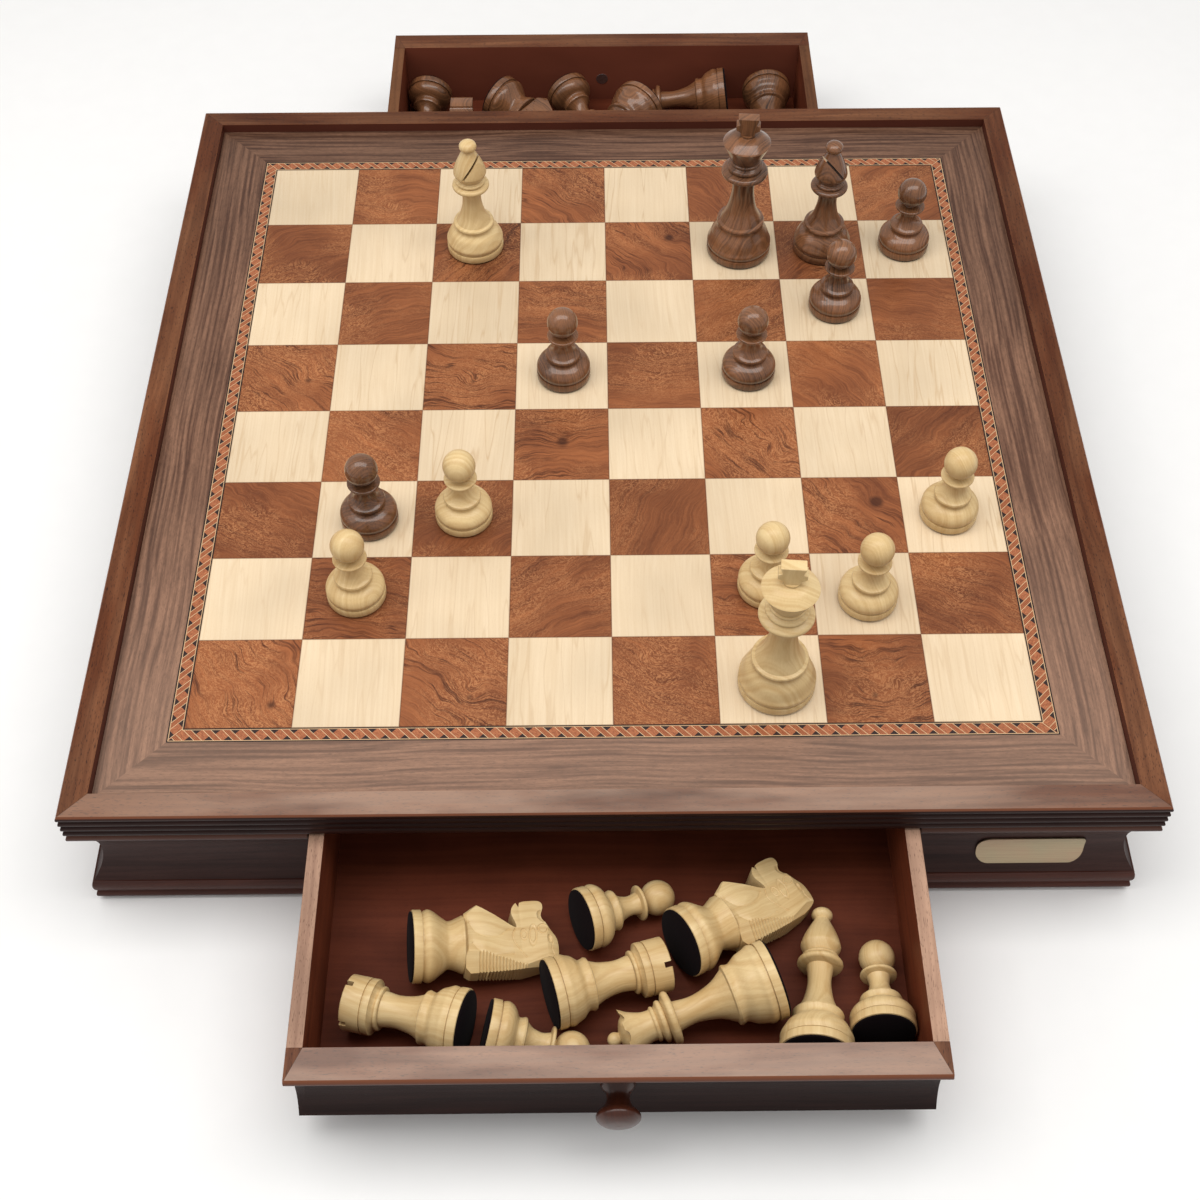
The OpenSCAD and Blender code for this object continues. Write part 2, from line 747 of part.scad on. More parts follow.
// Side view of the horse above its base: chest to the right, mane to the left
function horse_side() = let (z = knight_turned_z, h = knight_h - z, f = horse_l / 2) concat(
    [[-f, z], [f - 1, z], [f, z + 1.5], [f + 0.6, z + 6]],
    [[0.3 * f, z + 0.53 * h]],
    [[0.45 * f, z + 0.56 * h], [0.82 * f, z + 0.54 * h], [f - 0.2, z + 0.58 * h],
        [f + 0.6, z + 0.66 * h], [f + 0.6, z + 0.8 * h], [0.86 * f, z + 0.87 * h]],
    curve([[0.6 * f, z + 0.86 * h], [0.5 * f, z + 0.88 * h], [0.2 * f, z + 0.93 * h],
        [0, z + 0.98 * h]]),
    [[-0.42 * f, z + h], [-0.72 * f, z + 0.97 * h], [-0.7 * f, z + 0.86 * h],
        [-0.9 * f, z + 0.74 * h], [-f + 0.4, z + 0.4 * h]]);

// Front view of the horse: a thick body that narrows to the head
function horse_front() = let (z = knight_turned_z, h = knight_h - z, b = horse_t / 2,
    t = horse_head_t / 2) [
    [-b, z], [b, z], [b, z + 0.2 * h], [t, z + 0.6 * h], [t, z + 0.9 * h],
    [t - 2.4, knight_h], [2.4 - t, knight_h], [-t, z + 0.9 * h], [-t, z + 0.6 * h],
    [-b, z + 0.2 * h]];

module knight() {
    turned(concat(
        [[0, man_felt_t], [knight_r - 0.4, man_felt_t], [knight_r, man_felt_t + 0.5],
            [knight_r, band_z - 0.4], [knight_r - 0.6, band_z]],
        curve([[knight_r - 0.6, band_z + 0.3], [knight_r - 0.05, swell_z],
            [knight_r - 1, swell_z + 2.6],
            [knight_waist_r + 1.4, mix(swell_z + 2.6, knight_turned_z - 6.4, 0.6)],
            [knight_waist_r, knight_turned_z - 6.4],
            [knight_collar_r - 0.6, knight_turned_z - 2], [knight_collar_r, knight_turned_z - 0.8]]),
        [[knight_collar_r - 0.4, knight_turned_z], [0, knight_turned_z]]));
    locks = 0.62 * (knight_h - knight_turned_z);
    difference() {
        intersection() {
            rotate([90, 0, 0]) linear_extrude(height = 2 * horse_t, center = true)
                polygon(horse_side());
            rotate([90, 0, 90]) linear_extrude(height = 2 * horse_l, center = true)
                polygon(horse_front());
            cylinder(r = knight_r + 1.4, h = 2 * knight_h);
        }
        for (i = [0 : mane_count - 1])
            translate([-horse_l / 2 - 0.2, 0, knight_turned_z + 5 + i * locks / mane_count])
                rotate([90, 45, 0]) cube([1.1, 1.1, 2 * horse_t], center = true);
        for (side = [-1, 1]) translate([0.07 * horse_l, side * horse_head_t / 2,
            knight_turned_z + 0.82 * (knight_h - knight_turned_z)]) rotate([90, 0, 0])
            difference() {
                cylinder(r = 2.1, h = 1, center = true);
                cylinder(r = 1.6, h = 2, center = true);
            }
    }
    man_felt(knight_r);
}

// ---- Men on the board and in the drawers ----

module standing(at, wood) {
    color(wood) translate([at[0] * square_w, at[1] * square_w, play_z + seat_gap]) children();
}

// How far a man of base radius r leans to touch a flat floor with a rim of radius tip_r
function lean_rim(r, tip_r, tip_z) = atan((r - tip_r) / (tip_z - swell_z));
// The same where it touches with a ball of radius tip_r
function lean_ball(r, tip_r, tip_z) =
    acos(tip_r / norm([r, tip_z - swell_z])) - atan((tip_z - swell_z) / r);

// A man lying on the drawer's bottom with its felt at [x, y] and its head turned to yaw
module lying(x, y, yaw, roll, r, lean, wood) {
    color(wood) translate([x, y, floor_z + lie_gap + r * cos(lean) + swell_z * sin(lean)])
        rotate(yaw) rotate([0, 90 + lean, 0]) rotate(roll) children();
}

module lying_knight(x, y, yaw, roll, wood) {
    lying(x, y, yaw, roll, knight_r, lean_rim(knight_r, horse_head_t / 2,
        knight_turned_z + 0.9 * (knight_h - knight_turned_z)), wood) knight();
}

// A knight that lies on its mane
module lying_on_mane(x, y, yaw, wood) {
    lying(x, y, yaw, 180, knight_r, lean_rim(knight_r, horse_l / 2 - 0.4,
        knight_turned_z + 0.4 * (knight_h - knight_turned_z)), wood) knight();
}

module lying_rook(x, y, yaw, roll, wood) {
    lying(x, y, yaw, roll, rook_r, lean_rim(rook_r, rook_tower_r, rook_h), wood) rook();
}

module lying_pawn(x, y, yaw, wood) {
    lying(x, y, yaw, 0, pawn_r, lean_ball(pawn_r, pawn_ball_r, pawn_ball_z), wood) pawn();
}

module lying_queen(x, y, yaw, wood) {
    lying(x, y, yaw, 0, queen_r, lean_rim(queen_r, queen_crown_r, queen_crown_z), wood) queen();
}

module lying_bishop(x, y, yaw, roll, wood) {
    lying(x, y, yaw, roll, bishop_r, lean_ball(bishop_r, bishop_head_r, bishop_head_z), wood)
        bishop();
}

module pale_lying_knights() {
    lying_knight(-93, front_nose + 71, 6, 90, boxwood);
    lying_knight(29, front_nose + 71.5, 29, 90, boxwood);
}

module pale_lying_rooks() {
    lying_rook(-66, front_nose + 34, 166, 20, boxwood);
    lying_rook(-30, front_nose + 48, 17, 25, boxwood);
}

module pale_lying_pawns() {
    lying_pawn(-58, front_nose + 32, -9, boxwood);
    lying_pawn(-16, front_nose + 84, 22, boxwood);
    lying_pawn(116.6, front_nose + 29, 87, boxwood);
}

module pale_lying_queen() {
    lying_queen(71, front_nose + 54, -161, boxwood);
}

module pale_lying_bishop() {
    lying_bishop(86, front_nose + 19, 82, 0, boxwood);
}

module dark_lying_knights() {
    lying_knight(-71, rear_nose - 36, -38, 90, sheesham);
    lying_on_mane(-93, rear_nose - 115, 90, sheesham);
}

module dark_lying_rooks() {
    lying_rook(111, rear_nose - 26, -89, 10, sheesham);
    lying_rook(50, rear_nose - 98, -60, 30, sheesham);
}

module dark_lying_pawns() {
    lying_pawn(-116, rear_nose - 25, -98, sheesham);
    lying_pawn(-25, rear_nose - 25, -60, sheesham);
    lying_pawn(112, rear_nose - 100, 160, sheesham);
}

module dark_lying_queen() {
    lying_queen(27, rear_nose - 45, -128, sheesham);
}

module dark_lying_bishop() {
    lying_bishop(84, rear_nose - 32.2, 180, 30, sheesham);
}

board_panel();
light_squares();
dark_squares();
banding();
border();
frame_side(0);  // frame_front
frame_side(1);  // frame_right
frame_side(2);  // frame_back
frame_side(3);  // frame_left
plinth_full(3);  // plinth_left
plinth_full(1);  // plinth_right
plinth_corner(0, 0);  // plinth_front_left
plinth_corner(0, 1);  // plinth_front_right
plinth_corner(180, 1);  // plinth_back_left
plinth_corner(180, 0);  // plinth_back_right
corner_blocks();
base_moulding();
bottom_board();
drawer_guides();
stop_rail();
felt_feet();
bare_plate();
in_front() drawer_front();  // front_drawer_front
in_front() drawer_side(0);  // front_drawer_left
in_front() drawer_side(1);  // front_drawer_right
in_front() drawer_back();  // front_drawer_back
in_front() drawer_bottom();  // front_drawer_bottom
in_front() knob();  // front_knob
in_front() knob_screw();  // front_knob_screw
in_rear() drawer_front();  // rear_drawer_front
in_rear() drawer_side(1);  // rear_drawer_left
in_rear() drawer_side(0);  // rear_drawer_right
in_rear() drawer_back();  // rear_drawer_back
in_rear() drawer_bottom();  // rear_drawer_bottom
in_rear() knob();  // rear_knob
in_rear() knob_screw();  // rear_knob_screw
standing(pale_king_at, boxwood) king();  // pale_king
standing(pale_bishop_at, boxwood) bishop();  // pale_bishop
standing(pale_pawn_b_at, boxwood) pawn();  // pale_pawn_b
standing(pale_pawn_c_at, boxwood) pawn();  // pale_pawn_c
standing(pale_pawn_f_at, boxwood) pawn();  // pale_pawn_f
standing(pale_pawn_g_at, boxwood) pawn();  // pale_pawn_g
standing(pale_pawn_h_at, boxwood) pawn();  // pale_pawn_h
standing(dark_king_at, sheesham) king();  // dark_king
standing(dark_bishop_at, sheesham) bishop();  // dark_bishop
standing(dark_pawn_b_at, sheesham) pawn();  // dark_pawn_b
standing(dark_pawn_d_at, sheesham) pawn();  // dark_pawn_d
standing(dark_pawn_f_at, sheesham) pawn();  // dark_pawn_f
standing(dark_pawn_g_at, sheesham) pawn();  // dark_pawn_g
standing(dark_pawn_h_at, sheesham) pawn();  // dark_pawn_h
pale_lying_knights();
pale_lying_rooks();
pale_lying_pawns();
pale_lying_queen();
pale_lying_bishop();
dark_lying_knights();
dark_lying_rooks();
dark_lying_pawns();
dark_lying_queen();
dark_lying_bishop();
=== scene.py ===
import math
import random
from collections import namedtuple

import bpy
from mathutils import Matrix, Vector


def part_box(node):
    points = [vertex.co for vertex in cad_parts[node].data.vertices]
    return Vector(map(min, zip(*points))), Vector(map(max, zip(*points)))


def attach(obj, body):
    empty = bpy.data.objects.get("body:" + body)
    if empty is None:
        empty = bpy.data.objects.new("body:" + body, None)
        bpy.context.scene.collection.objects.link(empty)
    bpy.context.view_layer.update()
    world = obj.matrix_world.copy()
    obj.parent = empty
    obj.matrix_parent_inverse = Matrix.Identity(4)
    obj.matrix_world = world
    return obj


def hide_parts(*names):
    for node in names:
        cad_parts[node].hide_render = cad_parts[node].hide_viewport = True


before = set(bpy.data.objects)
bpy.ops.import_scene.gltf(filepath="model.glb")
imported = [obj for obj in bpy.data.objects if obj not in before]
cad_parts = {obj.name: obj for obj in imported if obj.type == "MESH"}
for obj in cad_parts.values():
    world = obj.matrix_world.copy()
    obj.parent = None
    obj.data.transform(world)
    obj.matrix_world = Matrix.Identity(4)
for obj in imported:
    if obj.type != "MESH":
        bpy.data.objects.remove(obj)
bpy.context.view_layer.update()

# A chess box with two drawers, its turned men on the board and in the drawers.
# Sizes are in millimetres until a piece is made, and MM turns them to metres.
MM = 0.001

# The case: the squares, the banding, the rim and the lip of the drawers' fronts.
SQUARE = 50
BOARD_HALF = 4 * SQUARE
BANDING_W = 7.5
RIM_Z = 80.9
LIP_Z, LIP_TOP_Z = 57.5, 63.2

# The drawers: tips of the fronts, how far they stand open, seat of the knobs, and boards.
FRONT_NOSE, REAR_NOSE = -364.5, 356
FRONT_OPEN, REAR_OPEN = 114.5, 106
COVE_Z, KNOB_SEAT = 37.55, 241
DRAWER_W, FRONT_T, SIDE_T = 278, 15.3, 7
DRAWER_FLOOR_Z = 20.8
LYING_AIR = 0.25

ROUND = 72
WELD = 0.002 * MM


# ---- Camera, light and floor ----

def place_camera():
    """The camera above the front edge, looking down on the board."""
    forward = Vector((0.00353, 0.58995, -0.80743)).normalized()
    right = forward.cross(Vector((0.00869, 0.80739, 0.58995))).normalized()
    up = right.cross(forward)
    turn = Matrix((right, up, -forward)).transposed()
    bpy.ops.object.camera_add(location=(-0.00835, -0.598, 0.719), rotation=turn.to_euler())
    camera = bpy.context.object
    camera.data.sensor_width = 36
    camera.data.lens = 48.503
    camera.data.clip_start = 0.01
    bpy.context.scene.camera = camera


def add_light(name, place, aim, size, power, colour):
    """A square soft light at place, aimed at a point."""
    bpy.ops.object.light_add(type="AREA", location=place)
    light = bpy.context.object
    light.name = name
    light.rotation_euler = (Vector(aim) - Vector(place)).to_track_quat("-Z", "Y").to_euler()
    light.data.shape = "RECTANGLE"
    light.data.size, light.data.size_y = size
    light.data.energy = power
    light.data.color = colour


def light_the_room():
    world = bpy.data.worlds.new("pale_room")
    bpy.context.scene.world = world
    world.use_nodes = True
    sky = world.node_tree.nodes["Background"].inputs
    sky["Color"].default_value = (1, 0.99, 0.975, 1)
    sky["Strength"].default_value = 0.58
    add_light("sky_panel", (0.0, -0.12, 1.25), (0, -0.12, 0), (1.8, 0.6), 11.2, (1, 0.985, 0.96))
    add_light("side_panel", (-1.3, -0.3, 1.2), (0, 0, 0.05), (0.8, 1.0), 2.5, (1, 0.98, 0.95))
    bpy.context.scene.view_settings.view_transform = "Standard"
    bpy.context.scene.view_settings.look = "None"


# ---- Modelling ----

def rest():
    """Leaves edit mode with nothing selected."""
    if bpy.context.object and bpy.context.object.mode != "OBJECT":
        bpy.ops.object.mode_set(mode="OBJECT")
    bpy.ops.object.select_all(action="DESELECT")


def pick(obj):
    rest()
    obj.select_set(True)
    bpy.context.view_layer.objects.active = obj


def edit(obj):
    """Opens a piece in edit mode with all of it selected."""
    pick(obj)
    bpy.ops.object.mode_set(mode="EDIT")
    bpy.ops.mesh.select_all(action="SELECT")


def settle(obj):
    """Moves a piece's place, turn and size into its mesh."""
    pick(obj)
    bpy.ops.object.transform_apply(location=True, rotation=True, scale=True)


def pen(name, points):
    """Draws a line of points (x, y, z) in millimetres, one extruded after the other."""
    rest()
    bpy.ops.mesh.primitive_plane_add(size=MM, location=Vector(points[0]) * MM)
    obj = bpy.context.object
    obj.name = name
    settle(obj)
    edit(obj)
    bpy.ops.mesh.merge(type="CENTER")
    for a, b in zip(points, points[1:]):
        step = (Vector(b) - Vector(a)) * MM
        bpy.ops.mesh.extrude_vertices_move(TRANSFORM_OT_translate={"value": step})
    bpy.ops.mesh.select_all(action="SELECT")
    return obj


def turned(name, outline, steps=ROUND):
    """Spins an outline of [radius, height] round the Z axis."""
    obj = pen(name, [(r, 0, z) for r, z in outline])
    bpy.ops.mesh.spin(steps=steps, angle=2 * math.pi, center=(0, 0, 0), axis=(0, 0, 1))
    seal(obj)
    return obj


def block(name, points, push):
    """Fills a drawn outline and extrudes it along push, in millimetres."""
    obj = pen(name, points)
    bpy.ops.mesh.edge_face_add()
    bpy.ops.mesh.select_all(action="SELECT")
    bpy.ops.mesh.extrude_region_move(TRANSFORM_OT_translate={"value": Vector(push) * MM})
    seal(obj)
    return obj


def bar(name, size, place, turn=(0, 0, 0)):
    """A cutter or core: a cube of size at place, turned by degrees."""
    rest()
    bpy.ops.mesh.primitive_cube_add(size=1, location=Vector(place) * MM,
                                    rotation=[math.radians(a) for a in turn])
    obj = bpy.context.object
    obj.name = name
    obj.scale = Vector(size) * MM
    settle(obj)
    return obj


def modify(obj, kind, **settings):
    """Adds a modifier with its settings and applies it."""
    pick(obj)
    modifier = obj.modifiers.new(kind.lower(), kind)
    for key, value in settings.items():
        setattr(modifier, key, value)
    bpy.ops.object.modifier_apply(modifier=modifier.name)


def cut(obj, *tools, operation="DIFFERENCE"):
    """Takes the tools' shapes out of a piece, or joins them to it."""
    for tool in tools:
        modify(obj, "BOOLEAN", operation=operation, object=tool, solver="EXACT")
        bpy.data.objects.remove(tool)


def slice_off(obj, point, normal):
    """Cuts away what lies beyond a plane and closes the cut."""
    edit(obj)
    bpy.ops.mesh.bisect(plane_co=Vector(point) * MM, plane_no=normal, use_fill=True,
                        clear_outer=True)
    rest()


def seal(obj):
    """Merges doubled points and turns the faces outwards."""
    edit(obj)
    bpy.ops.mesh.remove_doubles(threshold=WELD)
    bpy.ops.mesh.normals_make_consistent(inside=False)
    rest()


def join(parts):
    """Makes the parts one mesh, which keeps the first one's name."""
    pick(parts[0])
    for part in parts[1:]:
        part.select_set(True)
    bpy.ops.object.join()
    return parts[0]


def ease(obj, width, angle=32, segments=2, level=False):
    """Rounds a piece's sharp edges a little, shades its curves smooth and its flats level."""
    if width:
        modify(obj, "BEVEL", width=width * MM, segments=segments, limit_method="ANGLE",
               angle_limit=math.radians(angle), use_clamp_overlap=True,
               miter_outer="MITER_ARC")
    pick(obj)
    bpy.ops.object.shade_smooth_by_angle(angle=math.radians(angle))
    if level:
        modify(obj, "WEIGHTED_NORMAL", weight=100, keep_sharp=True)


def copied(node, name):
    """A copy of a CAD node with its triangles merged into whole faces."""
    rest()
    obj = bpy.data.objects.new(name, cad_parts[node].data.copy())
    bpy.context.scene.collection.objects.link(obj)
    obj.data.materials.clear()
    pick(obj)
    bpy.ops.mesh.customdata_custom_splitnormals_clear()
    edit(obj)
    bpy.ops.mesh.remove_doubles(threshold=WELD)
    bpy.ops.mesh.dissolve_limited(angle_limit=math.radians(0.4))
    rest()
    return obj


AXES = {"x": (0, 1, 2), "y": (1, 0, 2), "z": (2, 0, 1)}


def lay_grain(obj, axis, seed, spread=0.4):
    """Stores each point's place in its own plank: along the grain, across it and through it."""
    draw = random.Random(seed)
    shift = [draw.uniform(-spread, spread) for _ in range(3)]
    order = AXES[axis]
    values = []
    for vertex in obj.data.vertices:
        values.extend(vertex.co[order[i]] + shift[i] for i in range(3))
    plank = obj.data.attributes.new("plank", "FLOAT_VECTOR", "POINT")
    plank.data.foreach_set("vector", values)


def hand_over(obj, finish, slot, body, *nodes):
    """Gives a finished piece its finish and its body, and hides the nodes it stands for. Slot is
    not used.
    """
    obj.data.materials.clear()
    obj.data.materials.append(FINISHES[finish])
    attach(obj, body)
    if nodes:
        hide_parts(*nodes)


def dress(node, finish):
    """Gives a CAD node its finish."""
    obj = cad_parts[node]
    if not obj.material_slots:
        obj.data.materials.append(None)
    for place in obj.material_slots:
        place.material = FINISHES[finish]


# ---- Node trees ----

def linear(share):
    """One part of a colour, 0 to 255 as painters give it, for a shader."""
    share /= 255
    return share / 12.92 if share <= 0.04045 else ((share + 0.055) / 1.055) ** 2.4


class Signal:
    """What comes out of a node, for sums with other signals and with numbers."""

    def __init__(self, nodes, socket):
        self.nodes, self.socket = nodes, socket

    def __add__(self, other):
        return self.nodes.math("ADD", self, other)

    def __sub__(self, other):
        return self.nodes.math("SUBTRACT", self, other)

    def __rsub__(self, other):
        return self.nodes.math("SUBTRACT", other, self)

    def __mul__(self, other):
        return self.nodes.math("MULTIPLY", self, other)

    def __gt__(self, other):
        return self.nodes.math("GREATER_THAN", self, other)

    def __lt__(self, other):
        return self.nodes.math("LESS_THAN", self, other)

    def __abs__(self):
        return self.nodes.math("ABSOLUTE", self)


class Nodes:
    """Puts nodes into a tree and wires them."""

    def __init__(self, tree):
        self.tree = tree
        self.count = 0

    def feed(self, socket, value):
        """Links a signal or sets a number. A colour is three numbers from 0 to 255."""
        if isinstance(value, Signal):
            self.tree.links.new(value.socket, socket)
        elif socket.type == "RGBA":
            socket.default_value = [linear(share) for share in value] + [1]
        else:
            socket.default_value = value

    def add(self, kind, sockets, output=0, **settings):
        """Adds a node, feeds its sockets and gives one of its outputs."""
        node = self.tree.nodes.new("ShaderNode" + kind)
        node.location = (200 * (self.count % 12), -260 * (self.count // 12))
        self.count += 1
        for key, value in settings.items():
            setattr(node, key, value)
        for key, value in sockets.items():
            self.feed(node.inputs[key], value)
        return Signal(self, node.outputs[output])

    def math(self, operation, *values, clamp=False):
        return self.add("Math", dict(enumerate(values)), operation=operation, use_clamp=clamp)

    def vector(self, operation, a, b):
        return self.add("VectorMath", {0: a, 1: b}, operation=operation)

    def dot(self, a, b):
        return self.add("VectorMath", {0: a, 1: b}, "Value", operation="DOT_PRODUCT")

    def split(self, value):
        x = self.add("SeparateXYZ", {0: value})
        return [Signal(self, socket) for socket in x.socket.node.outputs]

    def xyz(self, x, y, z=0.0):
        return self.add("CombineXYZ", {0: x, 1: y, 2: z})

    def mix(self, share, a, b, blend="MIX"):
        return self.add("Mix", {0: share, 6: a, 7: b}, 2, data_type="RGBA", blend_type=blend)

    def fit(self, value, low, high, to_low=0.0, to_high=1.0, soft=False):
        return self.add("MapRange", {0: value, 1: low, 2: high, 3: to_low, 4: to_high},
                        interpolation_type="SMOOTHSTEP" if soft else "LINEAR")

    def noise(self, place, scale=1.0, detail=2.0, rough=0.5, distortion=0.0):
        return self.add("TexNoise", {"Vector": place, "Scale": scale, "Detail": detail,
                                     "Roughness": rough, "Distortion": distortion}, "Fac")

    def place(self):
        return self.add("TexCoord", {}, "Object")

    def normal(self):
        return self.add("TexCoord", {}, "Normal")

    def plank(self):
        return self.add("Attribute", {}, "Vector", attribute_name="plank")

    def shade(self, colour, share):
        """Makes a colour darker or lighter by a share."""
        return self.mix(1.0, colour, self.xyz(share, share, share), "MULTIPLY")

    def add_painted_sheen(self, colour, front, share):
        """Painted sheen: the front lengths are made paler and greyer, as a reflected light would
        make them.
        """
        return self.mix(front * share, colour, (214, 186, 166))

    def use(self, group, **sockets):
        """Places a node group and gives its outputs by name."""
        node = self.tree.nodes.new("ShaderNodeGroup")
        node.node_tree = GROUPS[group]
        for key, value in sockets.items():
            self.feed(node.inputs[key], value)
        return {socket.name: Signal(self, socket) for socket in node.outputs}

    def close_group(self, **outputs):
        """Gives a group its outputs, each of the kind of the signal that feeds it."""
        for key, signal in outputs.items():
            self.tree.interface.new_socket(key, in_out="OUTPUT",
                                           socket_type=SOCKETS[signal.socket.type])
        result = self.tree.nodes.new("NodeGroupOutput").inputs
        for key, signal in outputs.items():
            self.feed(result[key], signal)
        return self.tree


SOCKETS = {"VECTOR": "NodeSocketVector", "RGBA": "NodeSocketColor", "VALUE": "NodeSocketFloat"}


def start_group(name, **inputs):
    """A node group, with the names of its inputs of each kind of socket."""
    tree = bpy.data.node_groups.new(name, "ShaderNodeTree")
    for kind, names in inputs.items():
        for key in names.split():
            tree.interface.new_socket(key, in_out="INPUT", socket_type=SOCKETS[kind])
    n = Nodes(tree)
    given = tree.nodes.new("NodeGroupInput").outputs
    return n, {socket.name: Signal(n, socket) for socket in given}


def make_ring_side():
    """Turns a place on the box into a place on one of its four mitred sides, with a painted shade
    that darkens towards the back and a painted sheen mask that grows towards the front.
    """
    n, given = start_group("ring_side", VECTOR="Place", VALUE="Slope Start")
    x, y, z = n.split(given["Place"])
    wide, deep = abs(x), abs(y)
    past = wide * given["Slope"] + given["Start"] - deep
    on_side = past > 0
    on_front = 1 - on_side
    x_sign, y_sign = n.math("SIGN", x), n.math("SIGN", y)
    along = y * x_sign * on_side - x * y_sign * on_front
    across = (wide - deep) * on_side + deep
    number = on_side * (x_sign + 4) + on_front * y_sign
    return n.close_group(
        Plank=n.xyz(number * 0.37 + along, across, number * 0.11 + z),
        Along=along, Across=across, Outward=n.xyz(on_side * x_sign, on_front * y_sign),
        # Shade darkens towards the back and Front grows towards the front: both are painted
        # light.
        Shade=n.fit(y, -0.05, 0.25, 1, 0.7),
        Front=n.fit(y, -0.25, -0.02, 1, 0, soft=True), Facing=on_front * (y < 0),
        Seam=n.fit(abs(past), 0.1 * MM, 0.45 * MM, 1, 0))


def make_plank_grain():
    """Straight grain with pores. Plank runs along the grain, across it and through it."""
    n, given = start_group("plank_grain", VECTOR="Plank", RGBA="Dark Light Pore",
                           VALUE="Streak Fine Broad Pores")
    x, y, z = n.split(given["Plank"])
    sway = (n.noise(n.xyz(x * 7, y * 9, z * 9), detail=1) - 0.5) * 0.012
    y, z = y + sway, z + sway

    def streaks(along, across, detail):
        step = given["Fine"] * across
        return n.noise(n.xyz(x * along, y * step, z * step), detail=detail)

    broad, fine = streaks(2.6, 90, 3), streaks(11, 520, 2)
    tone = n.fit((broad - fine) * given["Broad"] + fine, 0.34, 0.66) - 0.5
    tone = n.math("MULTIPLY_ADD", tone, given["Streak"], 0.5, clamp=True)
    cloud = n.fit(n.noise(given["Plank"], 14), 0.3, 0.7, 0.9, 1.1)
    colour = n.shade(n.mix(tone, given["Dark"], given["Light"]), cloud)
    pore = n.fit(streaks(380, 3400, 1), 0.62, 0.7) * given["Pores"]
    return n.close_group(Colour=n.mix(pore, colour, given["Pore"]), Height=fine * 0.4 - pore)


def make_turned_grain():
    """Growth rings as they show on turned and carved wood. Plank runs along the grain."""
    n, given = start_group("turned_grain", VECTOR="Plank", RGBA="Dark Light",
                           VALUE="Step Strength")
    x, y, z = n.split(given["Plank"])
    sway = (n.noise(given["Plank"], 30) - 0.5) * 0.012
    pith = (n.math("SQRT", y * y + z * z) + sway) * given["Step"]
    ring_tone = n.fit(n.noise(n.xyz(pith, x * 4), detail=3, rough=0.6), 0.36, 0.66)
    fibre = n.fit(n.noise(n.xyz(x * 90, y * 1300, z * 1300), detail=3, rough=0.6), 0.3, 0.7)
    patch = n.fit(n.noise(given["Plank"], 34), 0.32, 0.68)
    plain = fibre * 0.35 + patch * 0.65
    tone = n.math("MULTIPLY_ADD", ring_tone - plain, given["Strength"], plain, clamp=True)
    return n.close_group(Colour=n.mix(tone, given["Light"], given["Dark"]), Height=fibre)


def make_cut_square():
    """Gives each square of the board its own leaf of veneer."""
    n, given = start_group("cut_square", VECTOR="Place", VALUE="Turn")
    square = SQUARE * MM
    x, y = n.split(given["Place"])[:2]
    column, row = [n.math("FLOOR", n.math("DIVIDE", value, square)) for value in (x, y)]
    x, y = x - (column + 0.5) * square, y - (row + 0.5) * square
    chance = n.add("TexWhiteNoise", {"Vector": n.xyz(column, row, 3.7)}, "Color",
                   noise_dimensions="3D")
    turn = (n.split(chance)[0] - 0.5) * given["Turn"]
    leaf = n.add("VectorRotate", {"Vector": n.xyz(x, y), "Angle": turn}, rotation_type="Z_AXIS")
    knot = n.vector("MULTIPLY", n.vector("SUBTRACT", chance, (0.5, 0.5, 0.5)),
                    (0.7 * square, 0.7 * square, 0))
    away = n.vector("SUBTRACT", n.xyz(x, y), knot)
    reach = n.math("MAXIMUM", abs(x), abs(y))
    return n.close_group(
        Leaf=n.vector("ADD", leaf, n.vector("MULTIPLY", chance, (3, 3, 3))),
        Chance=chance, Knot=n.math("SQRT", n.dot(away, away)),
        Seam=n.fit(reach, square / 2 - 0.45 * MM, square / 2 - 0.1 * MM))


# ---- Materials ----

def start_material(name):
    material = bpy.data.materials.new(name)
    material.use_nodes = True
    n = Nodes(material.node_tree)
    n.material = material
    return n


def close_material(n, colour, roughness, height=None, bump=0.1, coat=0, **constants):
    """Wires a colour, a roughness, a coat and a bump height to the surface."""
    surface = n.tree.nodes["Principled BSDF"]
    n.feed(surface.inputs["Base Color"], colour)
    n.feed(surface.inputs["Roughness"], roughness)
    n.feed(surface.inputs["Coat Weight"], coat)
    for key, value in constants.items():
        surface.inputs[key.replace("_", " ")].default_value = value
    if height is not None:
        dent = n.add("Bump", {"Height": height, "Strength": 0.5, "Distance": bump * MM})
        n.feed(surface.inputs["Normal"], dent)
    return n.material


